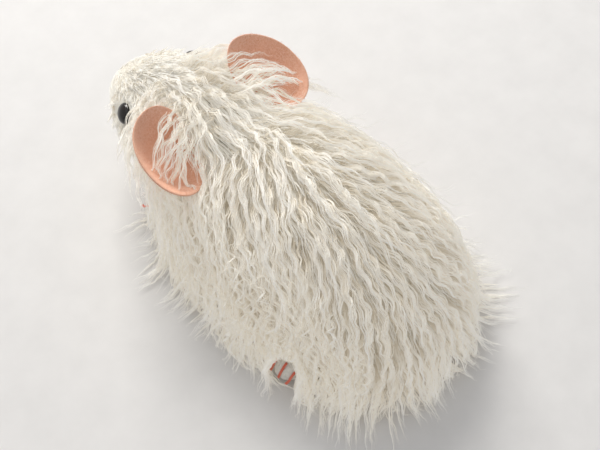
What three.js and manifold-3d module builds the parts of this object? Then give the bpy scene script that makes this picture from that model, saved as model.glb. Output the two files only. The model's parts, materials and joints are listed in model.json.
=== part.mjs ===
// A clockwork mouse: a long-haired soft toy built over a sprung motor on three wheels.
// Millimetres. The mouse faces -Y, its left side is +X, and it stands on Z = 0.
import * as THREE from "three";
import { mergeVertices } from "three/addons/utils/BufferGeometryUtils.js";
import Module from "manifold-3d";

const wasm = await Module();
wasm.setup();

// Clearances between neighbouring pieces, and how far a cutter runs past what it cuts.
const seatGap = 0.3;
const wadGap = 0.6;
const runningClearance = 0.06;
const overrun = 2;

// How finely round things are divided.
const shaftSides = 14;
const wheelSides = 24;
const softSides = 16;
const softRings = 12;

// The long-haired coat, measured to the mean surface of its pile.
const coatLength = 156;
const coatHalfWidth = 49.5;
const coatHeight = 78;
const coatBase = 1.2;
const coatRoundness = 0.93;
const coatFullness = 0.8;
const coatWidthShares = [0.84, 0.85, 0.87, 0.9, 0.92, 0.95, 0.99, 1.03, 1.04, 1.02];
const coatHeightShares = [0.88, 0.9, 0.94, 0.98, 1, 1, 0.97, 0.91, 0.84, 0.8];

// The wadding between the coat and the moulded shell.
const wadLength = 131;
const wadThickness = 7;
const wadHeight = 58;
const wadBase = 7;
const wadSetBack = 14;
const wadFullness = 0.75;

// The moulded shell that covers the motor, and the tin floor pan that it is screwed to.
const shellLength = 112;
const shellRoom = 6.2;
const shellHeight = 44;
const shellWall = 1.6;
const shellSetBack = 20;
const shellRoundness = 0.715;
const shellFullness = 0.5;
const shellWidthShares = [0.84, 0.86, 0.9, 0.95, 1, 1, 1, 1.02, 1.06, 1.1];
const panSheet = 0.8;
const panDepth = 4;
const panFloor = 5;

// The head, an egg that runs back into the coat.
const headLength = 106;
const headHalfWidth = 31;
const headCrown = 30.5;
const headJaw = 27;
const headMiddleHeight = 48;
const headOverhang = 37;
const headWidthShares = [0.88, 0.82, 0.84, 0.92, 1, 1.05, 1.07, 1.05, 1];
const headCrownShares = [0.84, 0.86, 0.92, 0.98, 1, 1.02, 1.03, 1.02, 1];
const headJawShares = [0.74, 0.74, 0.8, 0.9, 1, 1.04, 1, 0.96, 0.9];
const snoutDrop = 10;
const headPile = 5;

// Felt ears, each a cupped disc that leans out from the side of the head.
const earLength = 38;
const earBreadth = 27;
const earFelt = 1.8;
const earCup = 8;
const earPinch = 5;
const earSides = 20;
const earRings = 3;
const earRootHalfSpan = 18;
const earSetBack = 65;
const earRootHeight = 58;
const earAim = new THREE.Vector3(8, 34, -14).normalize();
const earReach = new THREE.Vector3(18, 0, 5).normalize();

// Domed eyes on stems, held behind the face cloth by spring washers.
const eyeRadius = 4.6;
const eyeDome = 3.4;
const eyeStemRadius = 1.2;
const eyeStemLength = 9;
const eyeHalfSpan = 20.4;
const eyeSetBack = 31;
const eyeHeight = 57;
const eyeDomeSteps = 5;
const eyeWasherRadius = 4.6;
const eyeWasherSheet = 1;
const eyeWasherDepth = 6;
const eyeAim = new THREE.Vector3(0.8, -0.42, 0.42).normalize();

// The nose, sewn on the tip of the snout.
const noseHalfWidth = 4.2;
const noseHalfHeight = 3.2;
const noseHalfDepth = 2.6;
const noseProud = 1.2;

// Stuffed feet. The hind ones point outwards, and the front ones forwards.
const footLength = 22;
const footHalfWidth = 8;
const footTop = 7;
const footSole = 3.4;
const footRest = 1.3;
const footSides = 14;
const footRings = 9;
const footWidthShares = [1.06, 1.06, 1.04, 1, 0.94, 0.86, 0.8];
const hindFootGap = 1;
const hindFootSetBack = 106.5;
const hindFootAngle = 1.52;
const frontFootHalfSpan = 24;
const frontFootSetBack = 2;
const frontFootAngle = 0.08;

// The motor: the winding arbor, the second arbor, and the drive axle.
const arborRadius = 2;
const arborHeight = 27;
const arborSetBack = 58;
const wheelModule = 0.75;
const secondModule = 0.65;
const greatTeeth = 42;
const secondPinionTeeth = 12;
const secondTeeth = 36;
const drivePinionTeeth = 12;
const secondArborRadius = 1.4;
const secondArborDip = 0.28;
const pressureAngle = (20 * Math.PI) / 180;
const addendumShare = 0.82;
const dedendumShare = 1.2;
const backlash = 0.16;
const wheelFlankPoints = 2;
const pinionFlankPoints = 3;

// The motor's side plates and their pillars.
const plateGap = 18;
const plateSheet = 1;
const plateRound = 4;
const plateAhead = 19;
const plateTail = 9.2;
const plateTop = 16;
const plateShoulder = 1;
const pillarRadius = 2;
const pillarTenonRadius = 1.2;
const pillarHeadRadius = 1.9;
const pillarHead = 0.8;
const pillarPlaces = {
  pillar_front_lower: [-14.6, -14],
  pillar_front_upper: [-15, 12],
  pillar_rear_upper: [17.5, 12.2],
  pillar_rear_lower: [37, -4.6],
};
const footTabLength = 9;
const footTabReach = 5.5;
const footTabPlaces = [-10, 13];
const rivetRadius = 1.1;
const rivetHeadRadius = 2;
const rivetHead = 0.7;

// Axial places of the train, from the key's side plate inwards.
const ratchetSheet = 1.2;
const ratchetGap = 0.6;
const greatSheet = 1.5;
const trainGap = 0.5;
const springWidth = 9.2;
const secondSheet = 1.3;
const pinionOverlap = 0.6;
const hubProud = 0.4;

// Wheel crossings: the web that is left between the hub and the rim.
const greatSpokes = 5;
const greatSpokeWidth = 4.2;
const greatRimWidth = 3.2;
const greatHubWidth = 3.6;
const secondSpokes = 4;
const secondSpokeWidth = 3;
const secondRimWidth = 2.6;
const secondHubWidth = 2.8;
const crossingSteps = 3;

// The ratchet and its click.
const ratchetRadius = 6.4;
const ratchetDepth = 1.2;
const ratchetTeeth = 12;
const clickPivotRadius = 10.4;
const clickAngle = 0.6;
const clickWidth = 2.6;
const clickSheet = 1;
const clickEyeRadius = 1.9;
const clickRivetRadius = 0.8;
const clickRivetHeadRadius = 1.3;
const clickSpringSheet = 0.4;
const clickSpringFootRadius = 1.1;
const clickSpringPathShares = [[1.22, 0.36], [1.2, 0.62], [1.02, 0.7], [0.86, 0.58], [0.735, 0.345]];
const clickArmShares = [[0, 0.8], [0, -1], [0.75, -0.8], [1, 0], [0.6, 0.1]];
const ratchetCrestShare = 0.04;

// The mainspring, a strip wound from the arbor's hook out to a pillar.
const springSheet = 0.5;
const springInner = 3.4;
const springOuter = 13;
const springTurns = 6;
const springStepsPerTurn = 15;
const springWrapAngle = 3.9;
const springWrapSteps = 9;
const arborHookProud = 0.9;
const arborHookWidth = 1.2;

// Running wheels.
const driveWheelRadius = 10;
const driveWheelWidth = 5;
const driveWheelDish = 1.4;
const driveWheelHubRadius = 3.2;
const driveWheelHubProud = 0.8;
const tyreRadius = 12;
const tyreWidth = 6;
const tyreBead = 0.8;
const driveAxleRadius = 1.5;
const driveAxleEnd = 1;
const driveWheelGap = 3;
const slotClearance = 1.2;
const frontWheelRadius = 8;
const frontWheelWidth = 4;
const frontAxleRadius = 1;
const frontWheelSetBack = 10.8;
const bracketSheet = 0.8;
const bracketGap = 0.6;
const bracketRise = 3.4;
const bracketHalfLength = 3.2;
const bracketTab = 5;

// The key and the lined hole that it comes out of.
const keyStemRadius = 3;
const keyLength = 15.5;
const keyStemLength = 10;
const keyBladeSheet = 1.8;
const keySpan = 23;
const keyDepth = 9.6;
const keyEyeRadius = 2.6;
const keySquare = 2.4;
const keyTurn = Math.PI / 2;
const keyFingerGap = 3;
const keySocketDepth = 5;
const liningRadius = 4.2;
const liningWall = 0.9;
const liningFlange = 6.6;
const liningFlangeSheet = 1;
const keyStandOff = 0.5;
const keyNeckShares = [0.25, 0.75];

// Screws that hold the shell to the pan.
const screwRadius = 1.1;
const screwHeadRadius = 2.2;
const screwHead = 1.2;
const screwLength = 7;
const bossRadius = 2.9;
const bossHeight = 7;
const bossInset = 3.5;
const screwPlaceShares = [0.13, 0.9];

// Places that follow from the sizes above. Y is counted back from the coat's front end.
const coatFront = -coatLength / 2;
const coatBack = coatLength / 2;
const headFront = coatFront - headOverhang;
const arborY = coatFront + arborSetBack;
const driveAxleHeight = tyreRadius * Math.cos(Math.PI / wheelSides);
const frontAxleHeight = frontWheelRadius * Math.cos(Math.PI / wheelSides);
const greatPitchRadius = (greatTeeth * wheelModule) / 2;
const secondPinionPitchRadius = (secondPinionTeeth * wheelModule) / 2;
const secondPitchRadius = (secondTeeth * secondModule) / 2;
const drivePinionPitchRadius = (drivePinionTeeth * secondModule) / 2;
const firstCentres = greatPitchRadius + secondPinionPitchRadius;
const secondCentres = secondPitchRadius + drivePinionPitchRadius;
const secondArbor = new THREE.Vector2(
  arborY + firstCentres * Math.cos(secondArborDip),
  arborHeight - firstCentres * Math.sin(secondArborDip),
);
const secondToDriveDrop = secondArbor.y - driveAxleHeight;
const driveAxle = new THREE.Vector2(
  secondArbor.x + Math.sqrt(secondCentres ** 2 - secondToDriveDrop ** 2),
  driveAxleHeight,
);
const plateInside = plateGap / 2;
const ratchetStart = -plateInside + ratchetGap;
const greatStart = ratchetStart + ratchetSheet + hubProud;
const springStart = greatStart + greatSheet + trainGap;
const secondStart = springStart + springWidth + trainGap;
const panRimTop = panFloor + panDepth;
const shellBase = panRimTop + seatGap;
const plateBehind = driveAxle.x - arborY + plateTail;
const wheelInside = plateInside + plateSheet + driveWheelGap;
const wheelOutside = wheelInside + tyreWidth;
const driveAxleHalf = wheelOutside + driveWheelHubProud + driveAxleEnd;
const shellHalfWidth = driveAxleHalf + shellRoom;
const wadHalfWidth = shellHalfWidth + wadThickness;
const hindFootReach = shellHalfWidth + hindFootGap + footLength;

// Solids for cutting and joining, by way of manifold-3d.
function solidOf(geometry) {
  const bare = geometry.index ? geometry.toNonIndexed() : geometry.clone();
  bare.deleteAttribute("normal");
  bare.deleteAttribute("uv");
  const merged = mergeVertices(bare, 1e-4);
  return new wasm.Manifold(
    new wasm.Mesh({
      numProp: 3,
      vertProperties: merged.attributes.position.array,
      triVerts: new Uint32Array(merged.index.array),
    }),
  );
}

function geometryOf(solid) {
  const mesh = solid.getMesh();
  const geometry = new THREE.BufferGeometry();
  geometry.setAttribute("position", new THREE.BufferAttribute(mesh.vertProperties, 3));
  geometry.setIndex(new THREE.BufferAttribute(mesh.triVerts, 1));
  return geometry;
}

function cut(geometry, ...tools) {
  return geometryOf(tools.reduce((left, tool) => left.subtract(solidOf(tool)), solidOf(geometry)));
}

function join(...geometries) {
  return geometryOf(geometries.map(solidOf).reduce((whole, next) => whole.add(next)));
}

// A value read smoothly from evenly spaced shares.
function along(shares, t) {
  const place = t * (shares.length - 1);
  const i = Math.min(Math.floor(place), shares.length - 2);
  const f = place - i;
  const at = (k) => shares[Math.min(Math.max(k, 0), shares.length - 1)];
  const [a, b, c, d] = [at(i - 1), at(i), at(i + 1), at(i + 2)];
  return b + (f / 2) * (c - a + f * (2 * a - 5 * b + 4 * c - d + f * (3 * (b - c) + d - a)));
}

// A closed skin over rings of equal count, from the front pole to the back pole.
function skin(rings, frontPole, backPole) {
  const count = rings[0].length;
  const points = [frontPole, ...rings.flat(), backPole];
  const at = (ring, k) => 1 + ring * count + (k % count);
  const faces = [];
  for (let k = 0; k < count; k++) {
    faces.push(0, at(0, k), at(0, k + 1));
    faces.push(points.length - 1, at(rings.length - 1, k + 1), at(rings.length - 1, k));
    for (let ring = 0; ring + 1 < rings.length; ring++) {
      faces.push(at(ring, k), at(ring + 1, k), at(ring, k + 1));
      faces.push(at(ring + 1, k), at(ring + 1, k + 1), at(ring, k + 1));
    }
  }
  const geometry = new THREE.BufferGeometry().setFromPoints(points);
  geometry.setIndex(faces);
  return geometry;
}

// A signed power, which squares off a round.
const squared = (value, power) => Math.sign(value) * Math.abs(value) ** power;

// A mound along Y with a flat base: domed across, rounded at both ends. Grown outwards by a margin.
function mound({ front, length, halfWidth, base, height, roundness = 1, fullness = 1,
  widthShares = [1, 1], heightShares = [1, 1], grow = 0, footing = 0 }) {
  const rings = [];
  for (let ring = 1; ring < softRings; ring++) {
    const s = ring / softRings;
    const swell = Math.sin(Math.PI * s) ** fullness;
    const y = front - grow + ((length + 2 * grow) * (1 - Math.cos(Math.PI * s))) / 2;
    const w = (halfWidth + grow) * along(widthShares, s) * swell;
    const h = (height + grow) * along(heightShares, s) * swell;
    const points = [];
    for (let k = 0; k <= softSides; k++) {
      const turn = (Math.PI * k) / softSides;
      const rise = Math.abs(Math.sin(turn)) ** roundness;
      points.push(new THREE.Vector3(w * squared(Math.cos(turn), roundness), y, base + h * rise));
    }
    if (footing) {
      points.unshift(new THREE.Vector3(points[0].x, y, base - footing));
      points.push(new THREE.Vector3(points[points.length - 1].x, y, base - footing));
    }
    rings.push(points);
  }
  const poleHeight = base - footing / 2;
  return skin(
    rings,
    new THREE.Vector3(0, front - grow, poleHeight),
    new THREE.Vector3(0, front + length + grow, poleHeight),
  );
}

// An egg along Y, with its own crown and jaw heights and a middle line that may rise.
function egg({ front, length, halfWidth, crown, jaw, middle, drop = 0, widthShares = [1, 1],
  crownShares = [1, 1], jawShares = [1, 1], grow = 0, rings = softRings, sides = softSides }) {
  const middleAt = (s) => middle - drop * (1 - s) ** 2;
  const made = [];
  for (let ring = 1; ring < rings; ring++) {
    const s = ring / rings;
    const swell = Math.sin(Math.PI * s);
    const y = front - grow + ((length + 2 * grow) * (1 - Math.cos(Math.PI * s))) / 2;
    const points = [];
    for (let k = 0; k < sides; k++) {
      const turn = (2 * Math.PI * k) / sides;
      const rise = Math.sin(turn);
      const reach = rise > 0 ? (crown + grow) * along(crownShares, s) : (jaw + grow) * along(jawShares, s);
      points.push(
        new THREE.Vector3(
          (halfWidth + grow) * along(widthShares, s) * swell * Math.cos(turn),
          y,
          middleAt(s) + reach * swell * rise,
        ),
      );
    }
    made.push(points);
  }
  return skin(
    made,
    new THREE.Vector3(0, front - grow, middleAt(0)),
    new THREE.Vector3(0, front + length + grow, middleAt(1)),
  );
}

// Places a geometry that was made along +Z so that it points along aim from a given place.
function aimed(geometry, place, aim) {
  const turn = new THREE.Quaternion().setFromUnitVectors(new THREE.Vector3(0, 0, 1), aim);
  return geometry.applyQuaternion(turn).translate(place.x, place.y, place.z);
}

// A straight round bar along X between two places, at a place in the side view.
function barAlongX(radius, from, to, y, z, sides = shaftSides) {
  const bar = new THREE.CylinderGeometry(radius, radius, to - from, sides);
  return bar.rotateZ(Math.PI / 2).translate((from + to) / 2, y, z);
}

function boxBetween(low, high) {
  const size = new THREE.Vector3().subVectors(high, low);
  const middle = new THREE.Vector3().addVectors(high, low).multiplyScalar(1 / 2);
  return new THREE.BoxGeometry(size.x, size.y, size.z).translate(middle.x, middle.y, middle.z);
}

// A bore whose flats clear a shaft of this radius.
const boreRadius = (radius, sides = shaftSides) => (radius + runningClearance) / Math.cos(Math.PI / sides);

function roundHole(x, y, radius, sides = shaftSides) {
  const hole = new THREE.Path();
  for (let k = 0; k <= sides; k++) {
    const turn = (-2 * Math.PI * k) / sides;
    const [px, py] = [x + radius * Math.cos(turn), y + radius * Math.sin(turn)];
    if (k) hole.lineTo(px, py);
    else hole.moveTo(px, py);
  }
  return hole;
}

function plate(shape, depth) {
  return new THREE.ExtrudeGeometry(shape, { depth, bevelEnabled: false, curveSegments: crossingSteps });
}

const materials = {
  pile: new THREE.MeshStandardMaterial({ color: 0xf1ede2, roughness: 0.95, metalness: 0 }),
  wadding: new THREE.MeshStandardMaterial({ color: 0xf6f4ee, roughness: 1, metalness: 0 }),
  felt: new THREE.MeshStandardMaterial({ color: 0xe59a78, roughness: 0.95, metalness: 0 }),
  bead: new THREE.MeshStandardMaterial({ color: 0x0a0808, roughness: 0.06, metalness: 0 }),
  shell: new THREE.MeshStandardMaterial({ color: 0x6f6a66, roughness: 0.5, metalness: 0 }),
  tin: new THREE.MeshStandardMaterial({ color: 0xb9bcc0, roughness: 0.35, metalness: 1 }),
  brass: new THREE.MeshStandardMaterial({ color: 0xc9a24c, roughness: 0.35, metalness: 1 }),
  steel: new THREE.MeshStandardMaterial({ color: 0x9a9ea4, roughness: 0.3, metalness: 1 }),
  rubber: new THREE.MeshStandardMaterial({ color: 0x2b2a29, roughness: 0.85, metalness: 0 }),
};

const mouse = new THREE.Group();

function add(name, geometry, material, place = [0, 0, 0], parent = mouse) {
  const mesh = new THREE.Mesh(geometry, material);
  mesh.name = name;
  mesh.position.set(...place);
  parent.add(mesh);
  return mesh;
}

// The coat, wadding, shell and pan share these outlines.
const coatForm = {
  front: coatFront,
  length: coatLength,
  halfWidth: coatHalfWidth,
  base: coatBase,
  height: coatHeight,
  roundness: coatRoundness,
  fullness: coatFullness,
  widthShares: coatWidthShares,
  heightShares: coatHeightShares,
};
const wadForm = {
  front: coatFront + wadSetBack,
  length: wadLength,
  halfWidth: wadHalfWidth,
  base: wadBase,
  height: wadHeight,
  fullness: wadFullness,
  widthShares: shellWidthShares,
};
const shellForm = {
  front: coatFront + shellSetBack,
  length: shellLength,
  halfWidth: shellHalfWidth,
  base: shellBase,
  height: shellHeight,
  roundness: shellRoundness,
  fullness: shellFullness,
  widthShares: shellWidthShares,
};
const headForm = {
  front: headFront,
  length: headLength,
  halfWidth: headHalfWidth,
  crown: headCrown,
  jaw: headJaw,
  middle: headMiddleHeight,
  drop: snoutDrop,
  widthShares: headWidthShares,
  crownShares: headCrownShares,
  jawShares: headJawShares,
};
const coreRoom = (gap) => mound({ ...shellForm, grow: gap, footing: shellBase + overrun });
const wadRoom = () => mound({ ...wadForm, grow: seatGap });
const headRoom = () => egg({ ...headForm, grow: seatGap });

// Feet, as eggs with their toes at the front, turned about Z and set on the floor.
const hindFootY = coatFront + hindFootSetBack;
const frontFootY = coatFront + frontFootSetBack;
const feet = [
  { name: "foot_rear_left", side: 1, tip: [hindFootReach, hindFootY], angle: hindFootAngle },
  { name: "foot_rear_right", side: -1, tip: [hindFootReach, hindFootY], angle: hindFootAngle },
  { name: "foot_front_left", side: 1, tip: [frontFootHalfSpan, frontFootY], angle: frontFootAngle },
  { name: "foot_front_right", side: -1, tip: [frontFootHalfSpan, frontFootY], angle: frontFootAngle },
];

function footGeometry({ side, tip, angle }, grow = 0) {
  const foot = egg({
    front: 0,
    length: footLength,
    halfWidth: footHalfWidth,
    crown: footTop,
    jaw: footSole,
    middle: footRest + footSole,
    widthShares: footWidthShares,
    grow,
    rings: footRings,
    sides: footSides,
  });
  return foot.rotateZ(side * angle).translate(side * tip[0], tip[1], 0);
}

// Where the key's shaft leaves the coat, and how long it has to be.
const keyStart = -(wadHalfWidth + keyStandOff);
const keyEnd = keyStart - keyLength;
const liningOutside = keyStart + seatGap + liningFlangeSheet;
const shaftRoom = (radius) => barAlongX(radius, keyEnd - overrun, 0, arborY, arborHeight);

// The eyes: domes on stems, their washers, and the room that both need.
const eyePlace = (side) => new THREE.Vector3(side * eyeHalfSpan, headFront + eyeSetBack, eyeHeight);
const eyeLine = (side) => new THREE.Vector3(side * eyeAim.x, eyeAim.y, eyeAim.z);

function eyeGeometry(side, grow = 0) {
  const profile = [new THREE.Vector2(0, -eyeStemLength - grow)];
  profile.push(new THREE.Vector2(eyeStemRadius + grow, -eyeStemLength - grow));
  profile.push(new THREE.Vector2(eyeStemRadius + grow, -grow));
  profile.push(new THREE.Vector2(eyeRadius + grow, -grow));
  for (let k = 1; k <= eyeDomeSteps; k++) {
    const turn = (Math.PI / 2) * (k / eyeDomeSteps);
    profile.push(new THREE.Vector2((eyeRadius + grow) * Math.cos(turn), (eyeDome + grow) * Math.sin(turn)));
  }
  profile[profile.length - 1].x = 0;
  const dome = new THREE.LatheGeometry(profile, softSides).rotateX(Math.PI / 2);
  return aimed(dome, eyePlace(side), eyeLine(side));
}

function washerGeometry(side, grow = 0) {
  const bore = grow ? eyeStemRadius / 2 : boreRadius(eyeStemRadius, softSides);
  const profile = [
    new THREE.Vector2(bore, -eyeWasherDepth - eyeWasherSheet - grow),
    new THREE.Vector2(eyeWasherRadius + grow, -eyeWasherDepth - eyeWasherSheet - grow),
    new THREE.Vector2(eyeWasherRadius + grow, -eyeWasherDepth + grow),
    new THREE.Vector2(bore, -eyeWasherDepth + grow),
  ];
  profile.push(profile[0].clone());
  const ring = new THREE.LatheGeometry(profile, softSides).rotateX(Math.PI / 2);
  return aimed(ring, eyePlace(side), eyeLine(side));
}

// A cupped felt disc: its root at the head, its far rim leaning out and up, its front edge pinched.
function earGeometry(side) {
  const mirrored = new THREE.Vector3(side, 1, 1);
  const upwards = earReach.clone().cross(earAim).normalize();
  const outwards = earAim.clone().cross(upwards).multiply(mirrored);
  const lengthwise = earAim.clone().multiply(mirrored);
  upwards.multiply(mirrored);
  const root = new THREE.Vector3(side * earRootHalfSpan, headFront + earSetBack, earRootHeight);
  const place = (reach, turn, lift) => {
    const u = reach * Math.cos(turn);
    const v = reach * Math.sin(turn);
    const cup = earCup * (u * u + v * v) + earPinch * Math.max(0, -u) ** 2 * (1 - v);
    return root
      .clone()
      .addScaledVector(lengthwise, (earLength / 2) * u)
      .addScaledVector(outwards, (earBreadth / 2) * (1 + v))
      .addScaledVector(upwards, cup + lift);
  };
  const ring = (reach, lift) =>
    Array.from({ length: earSides }, (_, k) => place(reach, (2 * Math.PI * k) / earSides, lift));
  const reaches = Array.from({ length: earRings }, (_, k) => (k + 1) / earRings);
  const rings = [...reaches.map((r) => ring(r, earFelt)), ...reaches.reverse().map((r) => ring(r, 0))];
  const ear = skin(rings, place(0, 0, earFelt), place(0, 0, 0));
  if (side > 0) ear.setIndex([...ear.index.array].reverse());
  return ear;
}

// Soft pieces
const footRooms = feet.map((foot) => footGeometry(foot, seatGap));
add(
  "body_coat",
  cut(
    mound(coatForm),
    wadRoom(),
    coreRoom(seatGap),
    shaftRoom(liningRadius + seatGap),
    barAlongX(keySpan / 2 + keyFingerGap, keyEnd - overrun, liningOutside + seatGap, arborY, arborHeight),
    ...footRooms,
  ),
  materials.pile,
);
add(
  "body_padding",
  cut(mound(wadForm), coreRoom(wadGap), shaftRoom(liningRadius + seatGap), ...footRooms),
  materials.wadding,
);

const coatRoom = mound({ ...coatForm, grow: seatGap });
const eyeRooms = [1, -1].map((side) => eyeGeometry(side, seatGap));
const washerRooms = [1, -1].map((side) => washerGeometry(side, seatGap));
const faceLining = egg({ ...headForm, grow: -headPile });
add("head_coat", cut(egg(headForm), faceLining, coatRoom, ...eyeRooms, ...washerRooms), materials.pile);
add(
  "head_padding",
  cut(egg({ ...headForm, grow: -headPile - seatGap }), coatRoom, ...eyeRooms, ...washerRooms),
  materials.wadding,
);
for (const [label, side] of [["left", 1], ["right", -1]]) {
  add("ear_" + label, cut(earGeometry(side), headRoom(), coatRoom), materials.felt);
  add("eye_" + label, eyeGeometry(side), materials.bead);
  add("eye_washer_" + label, washerGeometry(side), materials.steel);
}
const noseMiddle = headFront - noseProud + noseHalfDepth;
const nose = new THREE.SphereGeometry(1, softSides / 2, softSides / 2);
nose.scale(noseHalfWidth, noseHalfDepth, noseHalfHeight).translate(0, noseMiddle, headMiddleHeight - snoutDrop);
add("nose", cut(nose, headRoom()), materials.felt);
for (const foot of feet) add(foot.name, footGeometry(foot), materials.pile);

// The moulded shell, with bosses for its screws
const screwPlaces = screwPlaceShares.flatMap((share) => {
  const s = Math.acos(1 - 2 * share) / Math.PI;
  const x = shellHalfWidth * along(shellWidthShares, s) * Math.sin(Math.PI * s) ** shellFullness - bossInset;
  const y = coatFront + shellSetBack + shellLength * share;
  return [[x, y], [-x, y]];
});
const upright = (radius, low, high, [x, y]) =>
  new THREE.CylinderGeometry(radius, radius, high - low, shaftSides)
    .rotateX(Math.PI / 2)
    .translate(x, y, (low + high) / 2);
const hollow = mound({ ...shellForm, grow: -shellWall, base: shellBase, footing: overrun });
const bosses = screwPlaces.map((p) => upright(bossRadius, shellBase, shellBase + bossHeight, p));
const pilots = screwPlaces.map((p) => upright(boreRadius(screwRadius), 0, shellBase + screwLength, p));
add(
  "body_shell",
  cut(
    join(cut(mound(shellForm), hollow), ...bosses),
    shaftRoom(boreRadius(arborRadius) + seatGap),
    ...pilots,
  ),
  materials.shell,
);

// The floor pan: a shallow pressed tray with slots for the wheels
const frontWheelY = coatFront + shellSetBack + frontWheelSetBack;
const slotHalfLength = (radius, height) =>
  Math.sqrt(radius ** 2 - (height - panFloor - panSheet) ** 2) + slotClearance;

function slot(x0, x1, y, halfLength) {
  return boxBetween(
    new THREE.Vector3(x0, y - halfLength, panFloor - overrun),
    new THREE.Vector3(x1, y + halfLength, panFloor + panSheet + overrun),
  );
}
const tray = mound({ ...shellForm, base: panRimTop, footing: panDepth });
const aboveTray = boxBetween(
  new THREE.Vector3(-coatHalfWidth, coatFront, panRimTop),
  new THREE.Vector3(coatHalfWidth, coatBack, coatHeight),
);
const trayInside = mound({ ...shellForm, grow: -panSheet, base: panRimTop + overrun, footing: panDepth - panSheet + overrun });
const driveSlot = slotHalfLength(tyreRadius, driveAxleHeight);
const frontSlot = slotHalfLength(frontWheelRadius, frontAxleHeight);
const bracketHalfWidth = frontWheelWidth / 2 + bracketGap + bracketSheet;
const rivetPlaces = footTabPlaces.flatMap((ahead) =>
  [1, -1].map((side) => [side * (plateInside + plateSheet + footTabReach / 2), arborY + ahead]),
);
add(
  "floor_pan",
  cut(
    tray,
    aboveTray,
    trayInside,
    slot(wheelInside - slotClearance, wheelOutside + slotClearance, driveAxle.x, driveSlot),
    slot(-wheelOutside - slotClearance, -wheelInside + slotClearance, driveAxle.x, driveSlot),
    slot(-frontWheelWidth / 2 - bracketGap, frontWheelWidth / 2 + bracketGap, frontWheelY, frontSlot),
    ...screwPlaces.map((p) => upright(boreRadius(screwRadius), 0, panRimTop, p)),
    ...rivetPlaces.map((p) => upright(boreRadius(rivetRadius), 0, panRimTop, p)),
  ),
  materials.tin,
);

// Screws and rivets, each turned about its own axis
function headed(headRadius, head, radius, length) {
  const profile = [
    new THREE.Vector2(0, 0),
    new THREE.Vector2(headRadius * Math.cos(Math.PI / 4), 0),
    new THREE.Vector2(headRadius, head / 2),
    new THREE.Vector2(headRadius, head),
    new THREE.Vector2(radius, head),
    new THREE.Vector2(radius, head + length),
    new THREE.Vector2(0, head + length),
  ];
  return new THREE.LatheGeometry(profile, shaftSides / 2).rotateX(Math.PI / 2);
}
screwPlaces.forEach(([x, y], i) => {
  const screw = headed(screwHeadRadius, screwHead, screwRadius, screwLength);
  add("shell_screw_" + (i + 1), screw, materials.steel, [x, y, panFloor - screwHead - runningClearance]);
});
rivetPlaces.forEach(([x, y], i) => {
  const rivet = headed(rivetHeadRadius, rivetHead, rivetRadius, panSheet + 2 * seatGap + plateSheet);
  add("motor_rivet_" + (i + 1), rivet, materials.steel, [x, y, panFloor - rivetHead - runningClearance]);
});

// The motor is drawn in side view: x runs back along the mouse, y runs up, and depth runs to its left.
const motor = new THREE.Group();
motor.quaternion.set(0.5, 0.5, 0.5, 0.5);
mouse.add(motor);
const secondOffset = new THREE.Vector2(secondArbor.x - arborY, secondArbor.y - arborHeight);
const driveOffset = new THREE.Vector2(driveAxle.x - arborY, driveAxle.y - arborHeight);
const atArbor = (depth) => [arborY, arborHeight, depth];
const atSecond = (depth) => [secondArbor.x, secondArbor.y, depth];
const atDrive = (depth) => [driveAxle.x, driveAxle.y, depth];

// Side plates: a rounded outline with bearing holes, and tabs bent out along the floor
const plateFoot = panFloor + panSheet + seatGap - arborHeight;
function motorPlate(side) {
  const corners = [
    [-plateAhead, plateFoot],
    [plateBehind, plateFoot],
    [plateBehind, secondOffset.y + plateShoulder],
    [secondOffset.x, plateTop],
    [-plateAhead, plateTop],
  ].map(([x, y]) => new THREE.Vector2(x, y));
  const outline = new THREE.Shape();
  corners.forEach((corner, i) => {
    const before = corners[(i + corners.length - 1) % corners.length];
    const after = corners[(i + 1) % corners.length];
    const enter = corner.clone().add(before.clone().sub(corner).setLength(plateRound));
    const leave = corner.clone().add(after.clone().sub(corner).setLength(plateRound));
    if (i) outline.lineTo(enter.x, enter.y);
    else outline.moveTo(enter.x, enter.y);
    outline.quadraticCurveTo(corner.x, corner.y, leave.x, leave.y);
  });
  outline.holes.push(
    roundHole(0, 0, boreRadius(arborRadius)),
    roundHole(secondOffset.x, secondOffset.y, boreRadius(secondArborRadius)),
    roundHole(driveOffset.x, driveOffset.y, boreRadius(driveAxleRadius)),
    ...Object.values(pillarPlaces).map(([x, y]) => roundHole(x, y, boreRadius(pillarTenonRadius), shaftSides)),
  );
  const sheet = plate(outline, plateSheet);
  const reach = plateSheet + footTabReach;
  const tabs = footTabPlaces.map((ahead) =>
    boxBetween(
      new THREE.Vector3(ahead - footTabLength / 2, plateFoot, side > 0 ? 0 : plateSheet - reach),
      new THREE.Vector3(ahead + footTabLength / 2, plateFoot + plateSheet, side > 0 ? reach : plateSheet),
    ),
  );
  const middle = side > 0 ? plateSheet + footTabReach / 2 : -footTabReach / 2;
  const holes = footTabPlaces.map((ahead) =>
    new THREE.CylinderGeometry(boreRadius(rivetRadius), boreRadius(rivetRadius), plateSheet + 2 * overrun, shaftSides)
      .translate(ahead, plateFoot, middle),
  );
  return cut(join(sheet, ...tabs), ...holes);
}
add("motor_plate_left", motorPlate(1), materials.tin, atArbor(plateInside), motor);
add("motor_plate_right", motorPlate(-1), materials.tin, atArbor(-plateInside - plateSheet), motor);

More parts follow.
